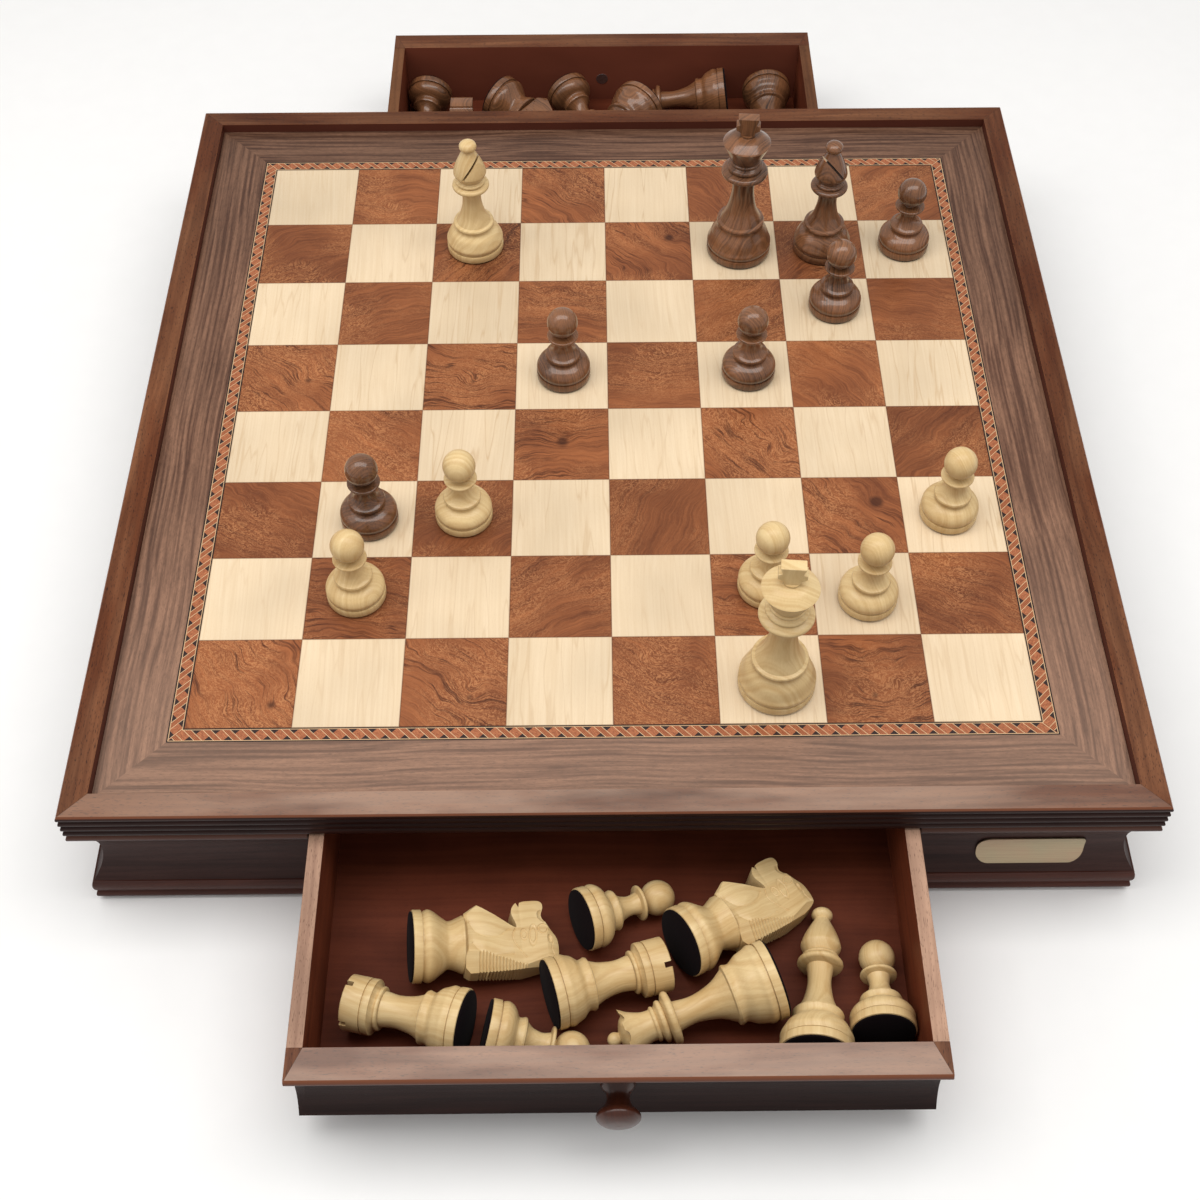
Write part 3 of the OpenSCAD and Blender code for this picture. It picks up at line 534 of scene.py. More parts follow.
def moulded_walnut(name, tops, sides, inner, wear_and_shade, slope=1, start=0):
    """Mitred walnut moulding: light flat tops with painted shade towards the back and a painted
    sheen at the front, a worn nose painted darker as it turns down, a painted highlight along the
    inner top edges, and dark sides.
    """
    n = start_material(name)
    side = n.use("ring_side", Place=n.place(), Slope=slope, Start=start)
    grain = {"Plank": side["Plank"], "Fine": 0.8, "Broad": 0.4}
    top = n.use("plank_grain", Dark=tops[0], Light=tops[1], Pore=(58, 34, 26), Streak=0.8,
                Pores=0.9, **grain)
    face = n.use("plank_grain", Dark=sides[0], Light=sides[1], Pore=(12, 7, 6), Streak=0.7,
                 Pores=0.25, **grain)
    normal = n.normal()
    up, z = n.split(normal)[2], n.split(n.place())[2]
    outward = n.dot(normal, side["Outward"])
    on_lip = (z > LIP_Z * MM) * (z < LIP_TOP_Z * MM)
    on_edge = n.math("MAXIMUM", on_lip, z > (RIM_Z - 1) * MM)
    flat = n.fit(up, 0.97, 0.999) * on_edge
    inward = n.fit(outward, -0.2, -0.5)
    nose = (on_edge - flat) * (1 - inward)
    # Painted highlight: a golden line along the inner top edge.
    arris_highlight = n.fit(up, 0.2, 0.4) * n.fit(outward, -0.1, -0.3) * on_edge
    mottle = n.noise(n.vector("MULTIPLY", side["Plank"], (0.5, 2.5, 1)), 26, 3)
    stain = n.mix(n.fit(mottle, 0.38, 0.62), (196, 158, 132), (255, 255, 255))
    # Painted shade: the tops are darker towards the back.
    top_colour = n.shade(n.mix(0.8, top["Colour"], stain, "MULTIPLY"),
                         n.fit(side["Shade"], 0.7, 1, 0.94, 1))
    top_colour = n.mix(side["Seam"] * 0.6, top_colour, (50, 30, 24))
    # How strong the painted sheen on the front tops is: patchy, and fading towards the ends of
    # each length.
    share = n.fit(mottle, 0.36, 0.6, 0.14, 0.34) * n.fit(abs(side["Along"]), 0.13, 0.25, 1, 0.35)
    colour = n.mix(inward, face["Colour"], n.shade(inner, n.fit(mottle, 0.3, 0.7, 0.85, 1.1)))
    colour = n.mix(flat, colour, n.add_painted_sheen(top_colour, side["Facing"], share))
    # The nose: worn orange-brown, with painted shade that darkens it as it turns down.
    wear_and_shade_colour = n.mix(n.fit(up, -0.4, 0.95), (58, 29, 24), (136, 82, 56))
    colour = n.mix(nose * wear_and_shade, colour, wear_and_shade_colour)
    colour = n.mix(arris_highlight, colour, (178, 116, 66))
    polish = nose * 0.12 + flat * (side["Facing"] * 0.5 + 0.1)
    return close_material(n, colour, n.fit(mottle, 0.3, 0.7, 0.34, 0.46), top["Height"], 0.06,
                          polish, Specular_IOR_Level=0.12, Coat_Roughness=0.3)


def border_veneer():
    """Grey-brown straight-grained veneer in four mitred lengths."""
    n = start_material("walnut_veneer")
    side = n.use("ring_side", Place=n.place(), Slope=1, Start=0)
    grain = n.use("plank_grain", Plank=side["Plank"], Dark=(92, 62, 48), Light=(144, 106, 84),
                  Pore=(68, 45, 36), Streak=1.25, Fine=1.1, Broad=0.2, Pores=0.55)
    ribbon = n.noise(n.vector("MULTIPLY", side["Plank"], (240, 900, 1)), 1, 3, 0.6)
    colour = n.shade(grain["Colour"], n.fit(ribbon, 0.3, 0.7, 0.84, 1.16))
    # Painted shade towards the back and a painted sheen at the front.
    colour = n.add_painted_sheen(n.shade(colour, side["Shade"]), side["Front"], 0.13)
    return close_material(n, colour, n.fit(ribbon, 0.3, 0.7, 0.32, 0.4), grain["Height"], 0.06,
                          Specular_IOR_Level=0.25)


def maple_squares():
    """Cream squares with faint straight grain from front to back."""
    n = start_material("maple_veneer")
    cut_leaf = n.use("cut_square", Place=n.place(), Turn=0.08)
    x, y = n.split(cut_leaf["Leaf"])[:2]
    grain = n.use("plank_grain", Plank=n.xyz(y, x), Dark=(222, 196, 160), Light=(238, 217, 186),
                  Pore=(208, 178, 138), Streak=0.45, Fine=1.7, Broad=0.25, Pores=0.25)
    chances = n.split(cut_leaf["Chance"])
    line = n.noise(n.xyz(x * 120, y * 9))
    line = n.fit(abs(line - 0.5), 0, 0.022, 1, 0) * n.fit(chances[0], 0, 1, 0.1, 0.5)
    colour = n.mix(line, grain["Colour"], (196, 160, 116))
    colour = n.shade(colour, n.fit(chances[1], 0, 1, 0.95, 1.03))
    # Painted shade: the squares are darker towards the back.
    colour = n.shade(colour, n.fit(n.split(n.place())[1], 0.02, 0.2, 1, 0.93))
    colour = n.mix(cut_leaf["Seam"] * 0.6, colour, (140, 98, 66))
    return close_material(n, colour, 0.36, grain["Height"], 0.03, Specular_IOR_Level=0.3)


def figured_squares():
    """Red-brown squares with fine streaks, curls and veins, each one different, some knotted."""
    n = start_material("bubinga_veneer")
    cut_leaf = n.use("cut_square", Place=n.place(), Turn=2.4)
    leaf, chances = cut_leaf["Leaf"], n.split(cut_leaf["Chance"])
    knotty = chances[2] > 0.84
    drift = n.noise(leaf, 26, 3)
    x, y, z = n.split(leaf)
    bend = n.fit(cut_leaf["Knot"], 0, 0.012, 1, 0, soft=True) * knotty
    y = y + drift * 0.03 + bend * 0.005
    fine = n.fit(n.noise(n.xyz(x * 40, y * 900, z), 1, 4, 0.65), 0.34, 0.66)
    broad = n.fit(n.noise(n.xyz(x * 14, y * 150, z), 1, 4, 0.6), 0.36, 0.64)
    curl = n.fit(n.noise(n.xyz(x * 420, y * 900, z), 1, 2, 0.6, 2.2), 0.47, 0.58)
    cloud = n.fit(n.noise(leaf, 15), 0.34, 0.66)
    tone = n.math("MULTIPLY_ADD", broad - 0.5, n.fit(chances[1], 0, 1, 0.1, 0.45),
                  fine * 0.4 + cloud * 0.35 + 0.12, clamp=True)
    colour = n.mix(tone, (92, 47, 29), (172, 104, 63))
    colour = n.mix(curl * n.fit(drift, 0.4, 0.58, 0.06, 0.6), colour, (204, 140, 92))
    vein = n.noise(n.xyz(x * 12, y * 260, z), 1, 4)
    broken = n.fit(n.noise(leaf, 46), 0.4, 0.56)
    vein = (n.fit(abs(vein - 0.5), 0.004, 0.03, 1, 0) * broken
            * n.fit(chances[2], 0.3, 0.9, 0.15, 0.8))
    colour = n.mix(vein, colour, (70, 34, 22))
    knot = (drift - 0.5) * 0.012 + cut_leaf["Knot"]
    knot = n.fit(knot, 0.0008, 0.0032, 0.75, 0) * knotty
    colour = n.mix(knot, colour, (56, 28, 20))
    colour = n.shade(colour, n.fit(chances[0], 0, 1, 0.8, 1.04))
    colour = n.mix(cut_leaf["Seam"] * 0.55, colour, (56, 28, 20))
    return close_material(n, colour, n.fit(curl, 0, 1, 0.34, 0.42), curl, 0.02,
                          Specular_IOR_Level=0.2)


def patterned_banding():
    """Slanting orange-brown strips and dark triangles between pale and black lines."""
    n = start_material("patterned_banding")
    side = n.use("ring_side", Place=n.place(), Slope=1, Start=0)
    core_low, core_high, period, strip, black_line = 0.95, 6.5, 9.1, 0.4, 0.6
    lean = (core_high - core_low) / period
    depth = (side["Across"] - BOARD_HALF * MM) * (1 / MM)
    v = n.fit(depth, core_low, core_high)
    u = side["Along"] * (1 / (period * MM))
    back = n.math("FRACT", u - v * lean)
    forth = back - (strip + (1 - strip) / 2 + lean) + v * (2 * lean)
    triangle = abs(forth) > 0.41
    stripe = n.fit(n.math("SINE", back * (2 * math.pi * 10)), -1, 1)
    wood = n.noise(n.xyz(back * 30, u * 9, v))
    long_strip = n.mix(stripe * wood, (126, 60, 36), (222, 148, 100))
    short_strip = n.mix(n.fit(wood, 0.3, 0.7), (130, 70, 45), (196, 124, 84))
    colour = n.mix(back < strip, n.mix(triangle, short_strip, (50, 34, 33)), long_strip)
    hem = n.math("MINIMUM", abs(back - strip), n.math("MINIMUM", back, 1 - back))
    colour = n.mix(n.fit(hem, 0.012, 0.026, 1, 0), colour, (226, 194, 152))
    colour = n.mix((depth > core_low) * (depth < core_high), (208, 172, 132), colour)
    colour = n.mix((depth > black_line) * (depth < BANDING_W - black_line), (34, 24, 22), colour)
    return close_material(n, colour, 0.36, Specular_IOR_Level=0.25)


def turned_wood(name, dark, light, step, strength, roughness, coat, deep):
    """Polished turned wood whose rings, step millimetres apart, follow each piece's own grain.
    Deep is the share of the colour that is left where a piece turns down: a painted shade."""
    n = start_material(name)
    grain = n.use("turned_grain", Plank=n.plank(), Dark=dark, Light=light,
                  Step=1 / (step * MM), Strength=strength)
    up = n.split(n.normal())[2]
    # Painted shade: darker on the faces that look down.
    colour = n.shade(grain["Colour"], n.fit(up, -0.4, 0.7, deep, 1.04))
    return close_material(n, colour, roughness, grain["Height"], 0.02, coat,
                          Coat_Roughness=0.12, Specular_IOR_Level=0.28)


def plank_wood(name, dark, light, pore, streak, pores, roughness, top=None):
    """A plain board. Top gives another dark and light for the faces that look up."""
    n = start_material(name)
    grain = {"Plank": n.plank(), "Pore": pore, "Streak": streak, "Fine": 0.8, "Broad": 0.5,
             "Pores": pores}
    face = n.use("plank_grain", Dark=dark, Light=light, **grain)
    colour = face["Colour"]
    if top:
        lit = n.use("plank_grain", Dark=top[0], Light=top[1], **grain)
        steep = n.fit(n.split(n.normal())[2], 0.25, 0.85, 1, 0, soft=True)
        colour = n.mix(steep, lit["Colour"], colour)
    mottle = n.fit(n.noise(n.plank(), 40, 3), 0.3, 0.7, 0.86, 1.12)
    return close_material(n, n.shade(colour, mottle), roughness, face["Height"], 0.06,
                          Specular_IOR_Level=0.08)


def felt_pile():
    n = start_material("black_felt")
    fuzz = n.noise(n.place(), 2600)
    colour = n.mix(fuzz, (8, 4, 6), (25, 16, 20))
    return close_material(n, colour, 0.95, fuzz, 0.12, Sheen_Weight=0.02,
                          Specular_IOR_Level=0.08)


def brushed_gold():
    n = start_material("gold_plate")
    brush = n.noise(n.vector("MULTIPLY", n.place(), (30, 2200, 2200)))
    # Painted reflection: broad reddish patches as of the wood around the plate reflected in it.
    reflection_blush = n.fit(n.noise(n.place(), 55, 1), 0.4, 0.6)
    colour = n.mix(brush, n.mix(reflection_blush, (146, 134, 110), (158, 128, 106)), (184, 168, 138))
    return close_material(n, colour, n.fit(brush, 0.3, 0.7, 0.3, 0.42), brush, 0.01,
                          Metallic=0.85)


def zinc():
    n = start_material("zinc_steel")
    spangle = n.noise(n.place(), 900)
    colour = n.mix(spangle, (150, 152, 156), (200, 202, 206))
    return close_material(n, colour, 0.35, spangle, 0.01, Metallic=1)


def pale_floor():
    n = start_material("floor_paper")
    fleck = n.noise(n.place(), 60)
    return close_material(n, n.mix(fleck, (250, 250, 250), (254, 254, 254)), 0.9)


# ---- Outlines of the men, as [radius, height] ----

# The felt, the band over it and the widest part of the swell over that.
FELT_T, BAND_H = 0.9, 4.2
BAND_Z = FELT_T + BAND_H
SWELL_Z = BAND_Z + 2.8
# The horse: its foot and ears in height, its length and its thickness at chest and head.
KNIGHT_Z, KNIGHT_H, HORSE_L, HORSE_T, HORSE_HEAD_T = 24, 67, 31.5, 20, 14.4


def between(a, b, t):
    return a + (b - a) * t


def curve(points, steps=6):
    """A smooth line through the points."""
    line = []
    for i in range(len(points) - 1):
        a, b = points[max(i - 1, 0)], points[i]
        c, d = points[i + 1], points[min(i + 2, len(points) - 1)]
        for j in range(steps):
            t = j / steps
            line.append([0.5 * (2 * q + (r - p) * t + (2 * p - 5 * q + 4 * r - s) * t * t
                                + (3 * q - p - 3 * r + s) * t ** 3)
                         for p, q, r, s in zip(a, b, c, d)])
    return line + [list(points[-1])]


def arc(x, z, radius, start, end, steps):
    """Points on a circle from one angle in degrees to another."""
    angles = [math.radians(between(start, end, i / steps)) for i in range(steps + 1)]
    return [[x + radius * math.cos(a), z + radius * math.sin(a)] for a in angles]


def ring(radius, z, height):
    """The round edge of a collar."""
    return arc(radius - height / 2, z, height / 2, -82, 82, 8)


def band(radius):
    """The straight band at the bottom of every man."""
    return [[0, FELT_T], [radius - 0.4, FELT_T], [radius - 0.1, FELT_T + 0.2],
            [radius, FELT_T + 0.5], [radius, BAND_Z - 0.4], [radius - 0.15, BAND_Z - 0.15],
            [radius - 1.1, BAND_Z]]


def foot(radius, ring_radius, ring_z):
    """A base: band, groove, swell and hollow up to a ring."""
    return band(radius) + [[radius - 1.1, BAND_Z + 0.35]] + curve([
        [radius - 0.6, BAND_Z + 0.4], [radius - 0.05, SWELL_Z], [radius - 1, SWELL_Z + 2.4],
        [between(radius, ring_radius, 0.55), between(SWELL_Z + 2.4, ring_z - 3.6, 0.5)],
        [ring_radius - 0.5, ring_z - 3.6], [ring_radius, ring_z - 0.8]]) + [
        [ring_radius - 0.3, ring_z]]


def stem(ring_radius, ring_z, neck, top_z):
    """The hollow rise from the foot's ring to a narrow neck."""
    return curve([
        [ring_radius - 1.8, ring_z + 0.6],
        [between(neck, ring_radius - 1.8, 0.36), between(ring_z, top_z, 0.28)],
        [neck, between(ring_z, top_z, 0.66)], [neck + 0.8, top_z]])


# A man's base radius, and the radius and height of the top that it lies on, ball or rim.
Man = namedtuple("Man", "r tip_r tip_z ball")
PAWN = Man(14.6, 8.2, 39.3, True)
ROOK = Man(16.1, 12.4, 55, False)
BISHOP = Man(16.3, 9.1, 55.5, True)
QUEEN = Man(17.9, 12, 71.4, False)
KING = Man(18.4, 13.1, 77, False)
KNIGHT = Man(16.4, HORSE_HEAD_T / 2, between(KNIGHT_Z, KNIGHT_H, 0.9), False)
KNIGHT_ON_MANE = Man(16.4, HORSE_L / 2 - 0.4, between(KNIGHT_Z, KNIGHT_H, 0.4), False)
MEN = {"pawn": PAWN, "rook": ROOK, "bishop": BISHOP, "queen": QUEEN, "king": KING,
       "knight": KNIGHT}


def make_pawn():
    collar_z, ball_z, ball = 30, PAWN.tip_z, PAWN.tip_r
    meet = math.degrees(math.asin(3 / ball))
    return turned("pawn", foot(PAWN.r, 9.5, 17.4) + stem(9.5, 17.4, 4.5, collar_z - 1.2)
                  + ring(8.3, collar_z, 1.6) + [[3.4, collar_z + 1.1]]
                  + arc(0, ball_z, ball, meet - 90, 90, 22))


def make_rook():
    neck, tower, collar_z, top, slot_h, cup = 7.2, ROOK.tip_r, 40, ROOK.tip_z, 3.4, 8.6
    slope = collar_z + 2.6
    floor = top - slot_h - 0.8
    rook = turned("rook", foot(ROOK.r, 12, 19.4) + stem(12, 19.4, neck, collar_z - 1.6)
                  + [[neck + 0.5, collar_z - 1.5]] + ring(neck + 2.6, collar_z - 0.5, 1.9)
                  + curve([[neck + 1.9, collar_z + 0.6], [neck + 2.7, collar_z + 1.3],
                           [tower - 1, slope - 0.5]])
                  + [[tower - 0.2, slope - 0.4], [tower, slope], [tower, slope + 2.6],
                     [tower - 0.2, slope + 2.9], [tower - 0.8, slope + 3],
                     [tower - 0.8, slope + 3.3], [tower - 0.2, slope + 3.4], [tower, slope + 3.7],
                     [tower, top - 0.4], [tower - 0.4, top], [cup + 0.3, top],
                     [cup, top - 0.3], [cup, floor], [0, floor]])
    slots = [bar("slot", (4 * tower, 2.5, 2 * slot_h), (0, 0, top), (0, 0, turn))
             for turn in (0, 90)]
    cut(rook, *slots)
    return rook


def make_bishop():
    collar_z, head, head_z = 45.6, BISHOP.tip_r, BISHOP.tip_z
    ball, ball_h, ball_z, slit = 4.9, 3.4, 71.9, 55
    top = ball_z - 0.85 * ball_h
    bishop = turned("bishop", foot(BISHOP.r, 11.6, 20) + stem(11.6, 20, 5.3, collar_z - 1.9)
                    + ring(10.4, collar_z, 3) + ring(8.5, collar_z + 3.1, 2)
                    + curve([[head - 2, collar_z + 4.8], [head - 0.3, head_z - 2],
                             [head, head_z], [head - 1.7, between(head_z, top, 0.4)],
                             [3.6, top - 0.2]])
                    + [[r, ball_z + (z - ball_z) * ball_h / ball]
                       for r, z in arc(0, ball_z, ball, -46, 90, 14)])
    x = -2.5 + 1.5 * head * math.cos(math.radians(slit))
    z = head_z - 1 + 1.5 * head * math.sin(math.radians(slit))
    cut(bishop, bar("slit", (3 * head, 3 * head, 1.2), (x, 0, z), (0, -slit, 0)))
    return bishop


def make_queen():
    collar_z, crown, crown_z, ball, ball_z = 50, QUEEN.tip_r, QUEEN.tip_z, 3.2, 76.6
    queen = turned("queen", foot(QUEEN.r, 13.8, 22) + stem(13.8, 22, 5.9, collar_z - 2.2)
                   + ring(12.1, collar_z, 3.6) + ring(9.5, collar_z + 4, 2.8)
                   + ring(7.9, collar_z + 7.4, 2)
                   + curve([[crown - 5.2, collar_z + 9], [crown - 4.8, collar_z + 12.5],
                            [crown - 2.6, crown_z - 3.4], [crown, crown_z]])
                   + [[crown - 1.8, crown_z - 0.4]]
                   + curve([[crown - 3, crown_z - 1.4], [crown - 5.2, crown_z + 1],
                            [2.4, ball_z - 2.4]])
                   + arc(0, ball_z, ball, -40, 90, 12))
    dips, dip = 8, 3.2
    for i in range(dips):
        angle = 2 * math.pi * (i + 0.5) / dips
        rest()
        bpy.ops.mesh.primitive_cylinder_add(
            vertices=32, radius=dip * MM, depth=6 * MM, rotation=(0, math.pi / 2, angle),
            location=(crown * MM * math.cos(angle), crown * MM * math.sin(angle),
                      (crown_z + 1.6) * MM))
        cut(queen, bpy.context.object)
    return queen


def make_king():
    collar_z, crown, crown_z = 57, KING.tip_r, KING.tip_z
    dome = crown_z + 4.6
    king = turned("king", foot(KING.r, 13.5, 23.4) + stem(13.5, 23.4, 6.2, collar_z - 2.2)
                  + ring(12.9, collar_z, 3.6) + ring(10.1, collar_z + 4, 2.8)
                  + ring(8.7, collar_z + 7.2, 2) + [[crown - 5, collar_z + 8.6]]
                  + curve([[crown - 4.6, collar_z + 9.4], [crown - 2.4, crown_z - 5.6],
                           [crown, crown_z - 0.4]])
                  + curve([[crown - 0.3, crown_z], [between(4, crown, 0.5), dome - 1.5],
                           [4.6, dome - 0.5]])
                  + [[4.1, dome - 0.4], [4.1, dome + 0.7], [0, dome + 0.7]])
    w, h, t, foot_z = 6.5, 11, 5.6, dome + 0.4
    half = [(0.58, 0), (0.6, 0.2), (1, 0.34), (1, 0.6), (0.7, 0.66), (0.88, 1)]
    outline = half + [(-x, z) for x, z in reversed(half)]
    cross = block("cross", [(x * w, -t / 2, foot_z + z * h) for x, z in outline], (0, t, 0))
    ease(cross, 0.35, 20)
    cross.rotation_euler.z = math.radians(-5)
    settle(cross)
    return join([king, cross])


NECK_LOW, NECK_HIGH, BROW_Z = 32.6, 49.8, 61.8
BROW_SLOPE = 0.42


def flank(z):
    """Half the horse's thickness at a height: wide chest, narrow head, sloping brow."""
    share = min(max((z - NECK_LOW) / (NECK_HIGH - NECK_LOW), 0), 1)
    return between(HORSE_T, HORSE_HEAD_T, share) / 2 - BROW_SLOPE * max(z - BROW_Z, 0)


def horse_outline():
    """Side view of the horse: chest at +X, mane at -X."""
    back = -HORSE_L / 2
    chest = [[back, KNIGHT_Z + 0.2], [11.5, KNIGHT_Z + 0.2], [14.8, KNIGHT_Z + 5.8]]
    throat = curve([[9.9, 38.6], [4.7, 46.6], [4.9, 48.2], [7.6, 47.4], [11, 46.2],
                    [14, 46.7], [16.4, 48.6]], 3)
    mouth = [[14.2, 49.9], [16.5, 50.3]]
    nose = curve([[17.1, 52.3], [17.2, 58.3], [16, 60.6], [13.5, 60.9], [10.5, 60], [7.5, 61.1],
                  [2.9, 63.9], [-1.1, 66.6], [-6.6, 67], [-10.4, 66.2], [-11.9, 64.2]], 3)
    return chest + throat + mouth + nose + [[-13.8, 59], [-15.2, 50], [back, 40]]


def carve(horse, points, radius, lift=0.0):
    """Cuts a round groove along points (x, z) into both flanks of the horse."""
    for side in (-1, 1):
        tool = pen("groove", [(x, side * (flank(z) + lift), z) for x, z in points])
        pick(tool)
        bpy.ops.object.convert(target="CURVE")
        tool = bpy.context.object
        tool.data.bevel_depth = radius * MM
        tool.data.bevel_resolution = 2
        tool.data.use_fill_caps = True
        bpy.ops.object.convert(target="MESH")
        seal(tool)
        cut(horse, tool)


def carve_oval(horse, x, z, half_x, half_z, tilt=0):
    """Cuts an oval groove of half sizes along and up into both flanks of the horse."""
    for side in (-1, 1):
        rest()
        bpy.ops.mesh.primitive_torus_add(
            major_radius=1, minor_radius=0.5 / half_z, major_segments=40, minor_segments=10,
            location=Vector((x, side * (flank(z) + 0.06), z)) * MM,
            rotation=(math.pi / 2, math.radians(tilt), 0))
        bpy.context.object.scale = Vector((half_x, half_z, half_z)) * MM
        settle(bpy.context.object)
        cut(horse, bpy.context.object)


def scoop(horse, x, z, size, depth, tilt=0):
    """Presses a shallow dish of size (along, up) into both flanks."""
    for side in (-1, 1):
        rest()
        bpy.ops.mesh.primitive_uv_sphere_add(
            segments=32, ring_count=20, radius=1,
            location=Vector((x, side * (flank(z) + 2 - depth), z)) * MM,
            rotation=(0, math.radians(tilt), 0))
        bpy.context.object.scale = Vector((size[0], 2, size[1])) * MM
        settle(bpy.context.object)
        cut(horse, bpy.context.object)


def cut_mane(horse):
    """Slants the back corners of the neck and files a row of locks into them and the back."""
    back, out, lock = 0.596, 0.8, 0.86
    across = math.degrees(math.atan2(back, out))
    heights = [30.6 + 1.5 * i for i in range(15)]
    for side in (-1, 1):
        slice_off(horse, (-7.7, side * 10, 26.8), (-back, side * out, -0.06))
        slice_off(horse, (-11.1, side * 7.2, 59.4), (-0.75, side * 0.6, 0.26))
    for side in (-1, 1):
        # How far out the slanted corner is, 12 mm behind the axis.
        cut(horse, join([bar("lock", (16, lock, lock), (-12, side * (3.828 + 0.06 * z) / out, z),
                             (45, 0, side * across)) for z in heights]))
    cut(horse, join([bar("lock", (lock, 30, lock), (-HORSE_L / 2, 0, z), (0, 45, 0))
                     for z in heights]))


def make_knight():
    """A turned stand and a horse, sawn out, thinned to the head and carved."""
    r, collar, waist, z, wide = KNIGHT.r, 13, 10.8, KNIGHT_Z, HORSE_T / 2
    stand = turned("knight", band(r) + curve([
        [r - 1.1, BAND_Z + 0.35], [r - 0.05, SWELL_Z], [r - 1, SWELL_Z + 2.6],
        [waist + 1.4, between(SWELL_Z + 2.6, z - 6.4, 0.6)], [waist, z - 6.4],
        [collar - 0.6, z - 2], [collar, z - 0.8]]) + [[collar, z], [collar - 0.4, z + 0.4],
                                                       [0, z + 0.4]])
    horse = block("horse", [(x, -wide, y) for x, y in horse_outline()], (0, 2 * wide, 0))
    half = [(flank(z), z) for z in (z, NECK_LOW, NECK_HIGH, BROW_Z, KNIGHT_H + 2)]
    front = half + [(-y, z) for y, z in reversed(half)]
    cut(horse, block("front", [(-HORSE_L, y, z) for y, z in front], (2 * HORSE_L, 0, 0)),
        operation="INTERSECT")
    # The chest's lower edges and corners, and the foot of the mane.
    for side in (-1, 1):
        slice_off(horse, (8.4, side * wide, 25.6), (0, side * 0.75, -0.66))
        slice_off(horse, (14.2, side * wide, 30), (0.62, side * 0.6, -0.5))
    slice_off(horse, (-HORSE_L / 2, 0, 26.4), (-0.7, 0, -0.7))
    ease(horse, 0.3, 24)
    cut_mane(horse)
    # The jaw, the ovals and the eye, the hollows of the neck, the ear and the dishes.
    carve(horse, curve([[3.5, 47.4], [0.8, 46.2], [-1.8, 46.3], [-5.8, 48.5], [-10.4, 51.8]], 4),
          0.45, 0.1)
    carve_oval(horse, 0.7, 51.3, 2.3, 1.4)
    carve_oval(horse, 0.3, 55.4, 4.4, 1.6, -5)
    carve_oval(horse, 3.3, 60.2, 2.1, 2.1)
    carve(horse, curve([[6.5, 26.2], [1.6, 29], [-0.6, 34], [0, 40], [3.4, 44.6]], 4), 1.5, 1.2)
    carve(horse, curve([[-3.5, 27.4], [-8, 31], [-9.8, 37], [-8.6, 46.4]], 4), 1.5, 1.2)
    carve(horse, [(-2.6, 64.6), (-6, 63.6), (-10, 65)], 0.35, 0.1)
    scoop(horse, 9.6, 60.6, (3.4, 2.6), 1.3, 30)
    scoop(horse, -1.4, 63.4, (2.9, 1.5), 0.8)
    return join([stand, horse])


def felt_disc(radius):
    """A felt pad with a soft edge."""
    return turned("felt", [[0, 0], [radius - 0.3, 0], [radius, 0.2], [radius, FELT_T],
                           [0, FELT_T]], 48)


# ---- Places of the men ----

def lean_of(shape):
    """How far a man leans when it lies on its swell and its top, in degrees."""
    r, tip_r, rise = shape.r, shape.tip_r, shape.tip_z - SWELL_Z
    if shape.ball:
        return math.degrees(math.acos(tip_r / math.hypot(r, rise)) - math.atan(rise / r))
    return math.degrees(math.atan((r - tip_r) / rise))


def turned_by(axis, degrees):
    return Matrix.Rotation(math.radians(degrees), 4, axis)


def lying_place(shape, x, y, yaw, roll):
    """The place of a man that lies on a drawer's bottom."""
    lean = lean_of(shape)
    z = (DRAWER_FLOOR_Z + LYING_AIR + shape.r * math.cos(math.radians(lean))
         + SWELL_Z * math.sin(math.radians(lean)))
    return (Matrix.Translation(Vector((x, y, z)) * MM) @ turned_by("Z", yaw)
            @ turned_by("Y", 90 + lean) @ turned_by("Z", roll))


def set_man(model, pad, name, place, wood, body, node, seed):
    """Copies a modelled man and its felt pad to their place."""
    for part, part_name, finish, nodes in ((model, name, wood, [node]),
                                           (pad, name + "_felt", "black_felt", [])):
        pick(part)
        bpy.ops.object.duplicate(linked=False)
        copy = bpy.context.object
        copy.name = part_name
        lay_grain(copy, "z", seed, 0.07)
        copy.matrix_world = place
        settle(copy)
        hand_over(copy, finish, finish, body, *nodes)


# The lying men: name, place from the tip of the drawer's front, turn and roll in degrees.
FRONT_MEN = [
    ("knight_left", -93, 71, 6, 90), ("knight_right", 29, 71.5, 29, 90),
    ("rook_left", -66, 34, 166, 20), ("rook_right", -30, 48, 17, 25),
    ("pawn_front", -58, 32, -9, 0), ("pawn_back", -16, 84, 22, 0),
    ("pawn_right", 116.6, 29, 87, 0), ("queen", 71, 54, -161, 0), ("bishop", 86, 19, 82, 0)]
REAR_MEN = [
    ("knight_left", -71, -36, -38, 90), ("knight_on_mane", -93, -115, 90, 180),
    ("rook_right", 111, -26, -89, 10), ("rook_middle", 50, -98, -60, 30),
    ("pawn_left", -116, -25, -98, 0), ("pawn_middle", -25, -25, -60, 0),
    ("pawn_right", 112, -100, 160, 0), ("queen", 27, -45, -128, 0),
    ("bishop", 84, -32.2, 180, 30)]
FACING = {"pale_bishop": -8, "dark_bishop": -150}


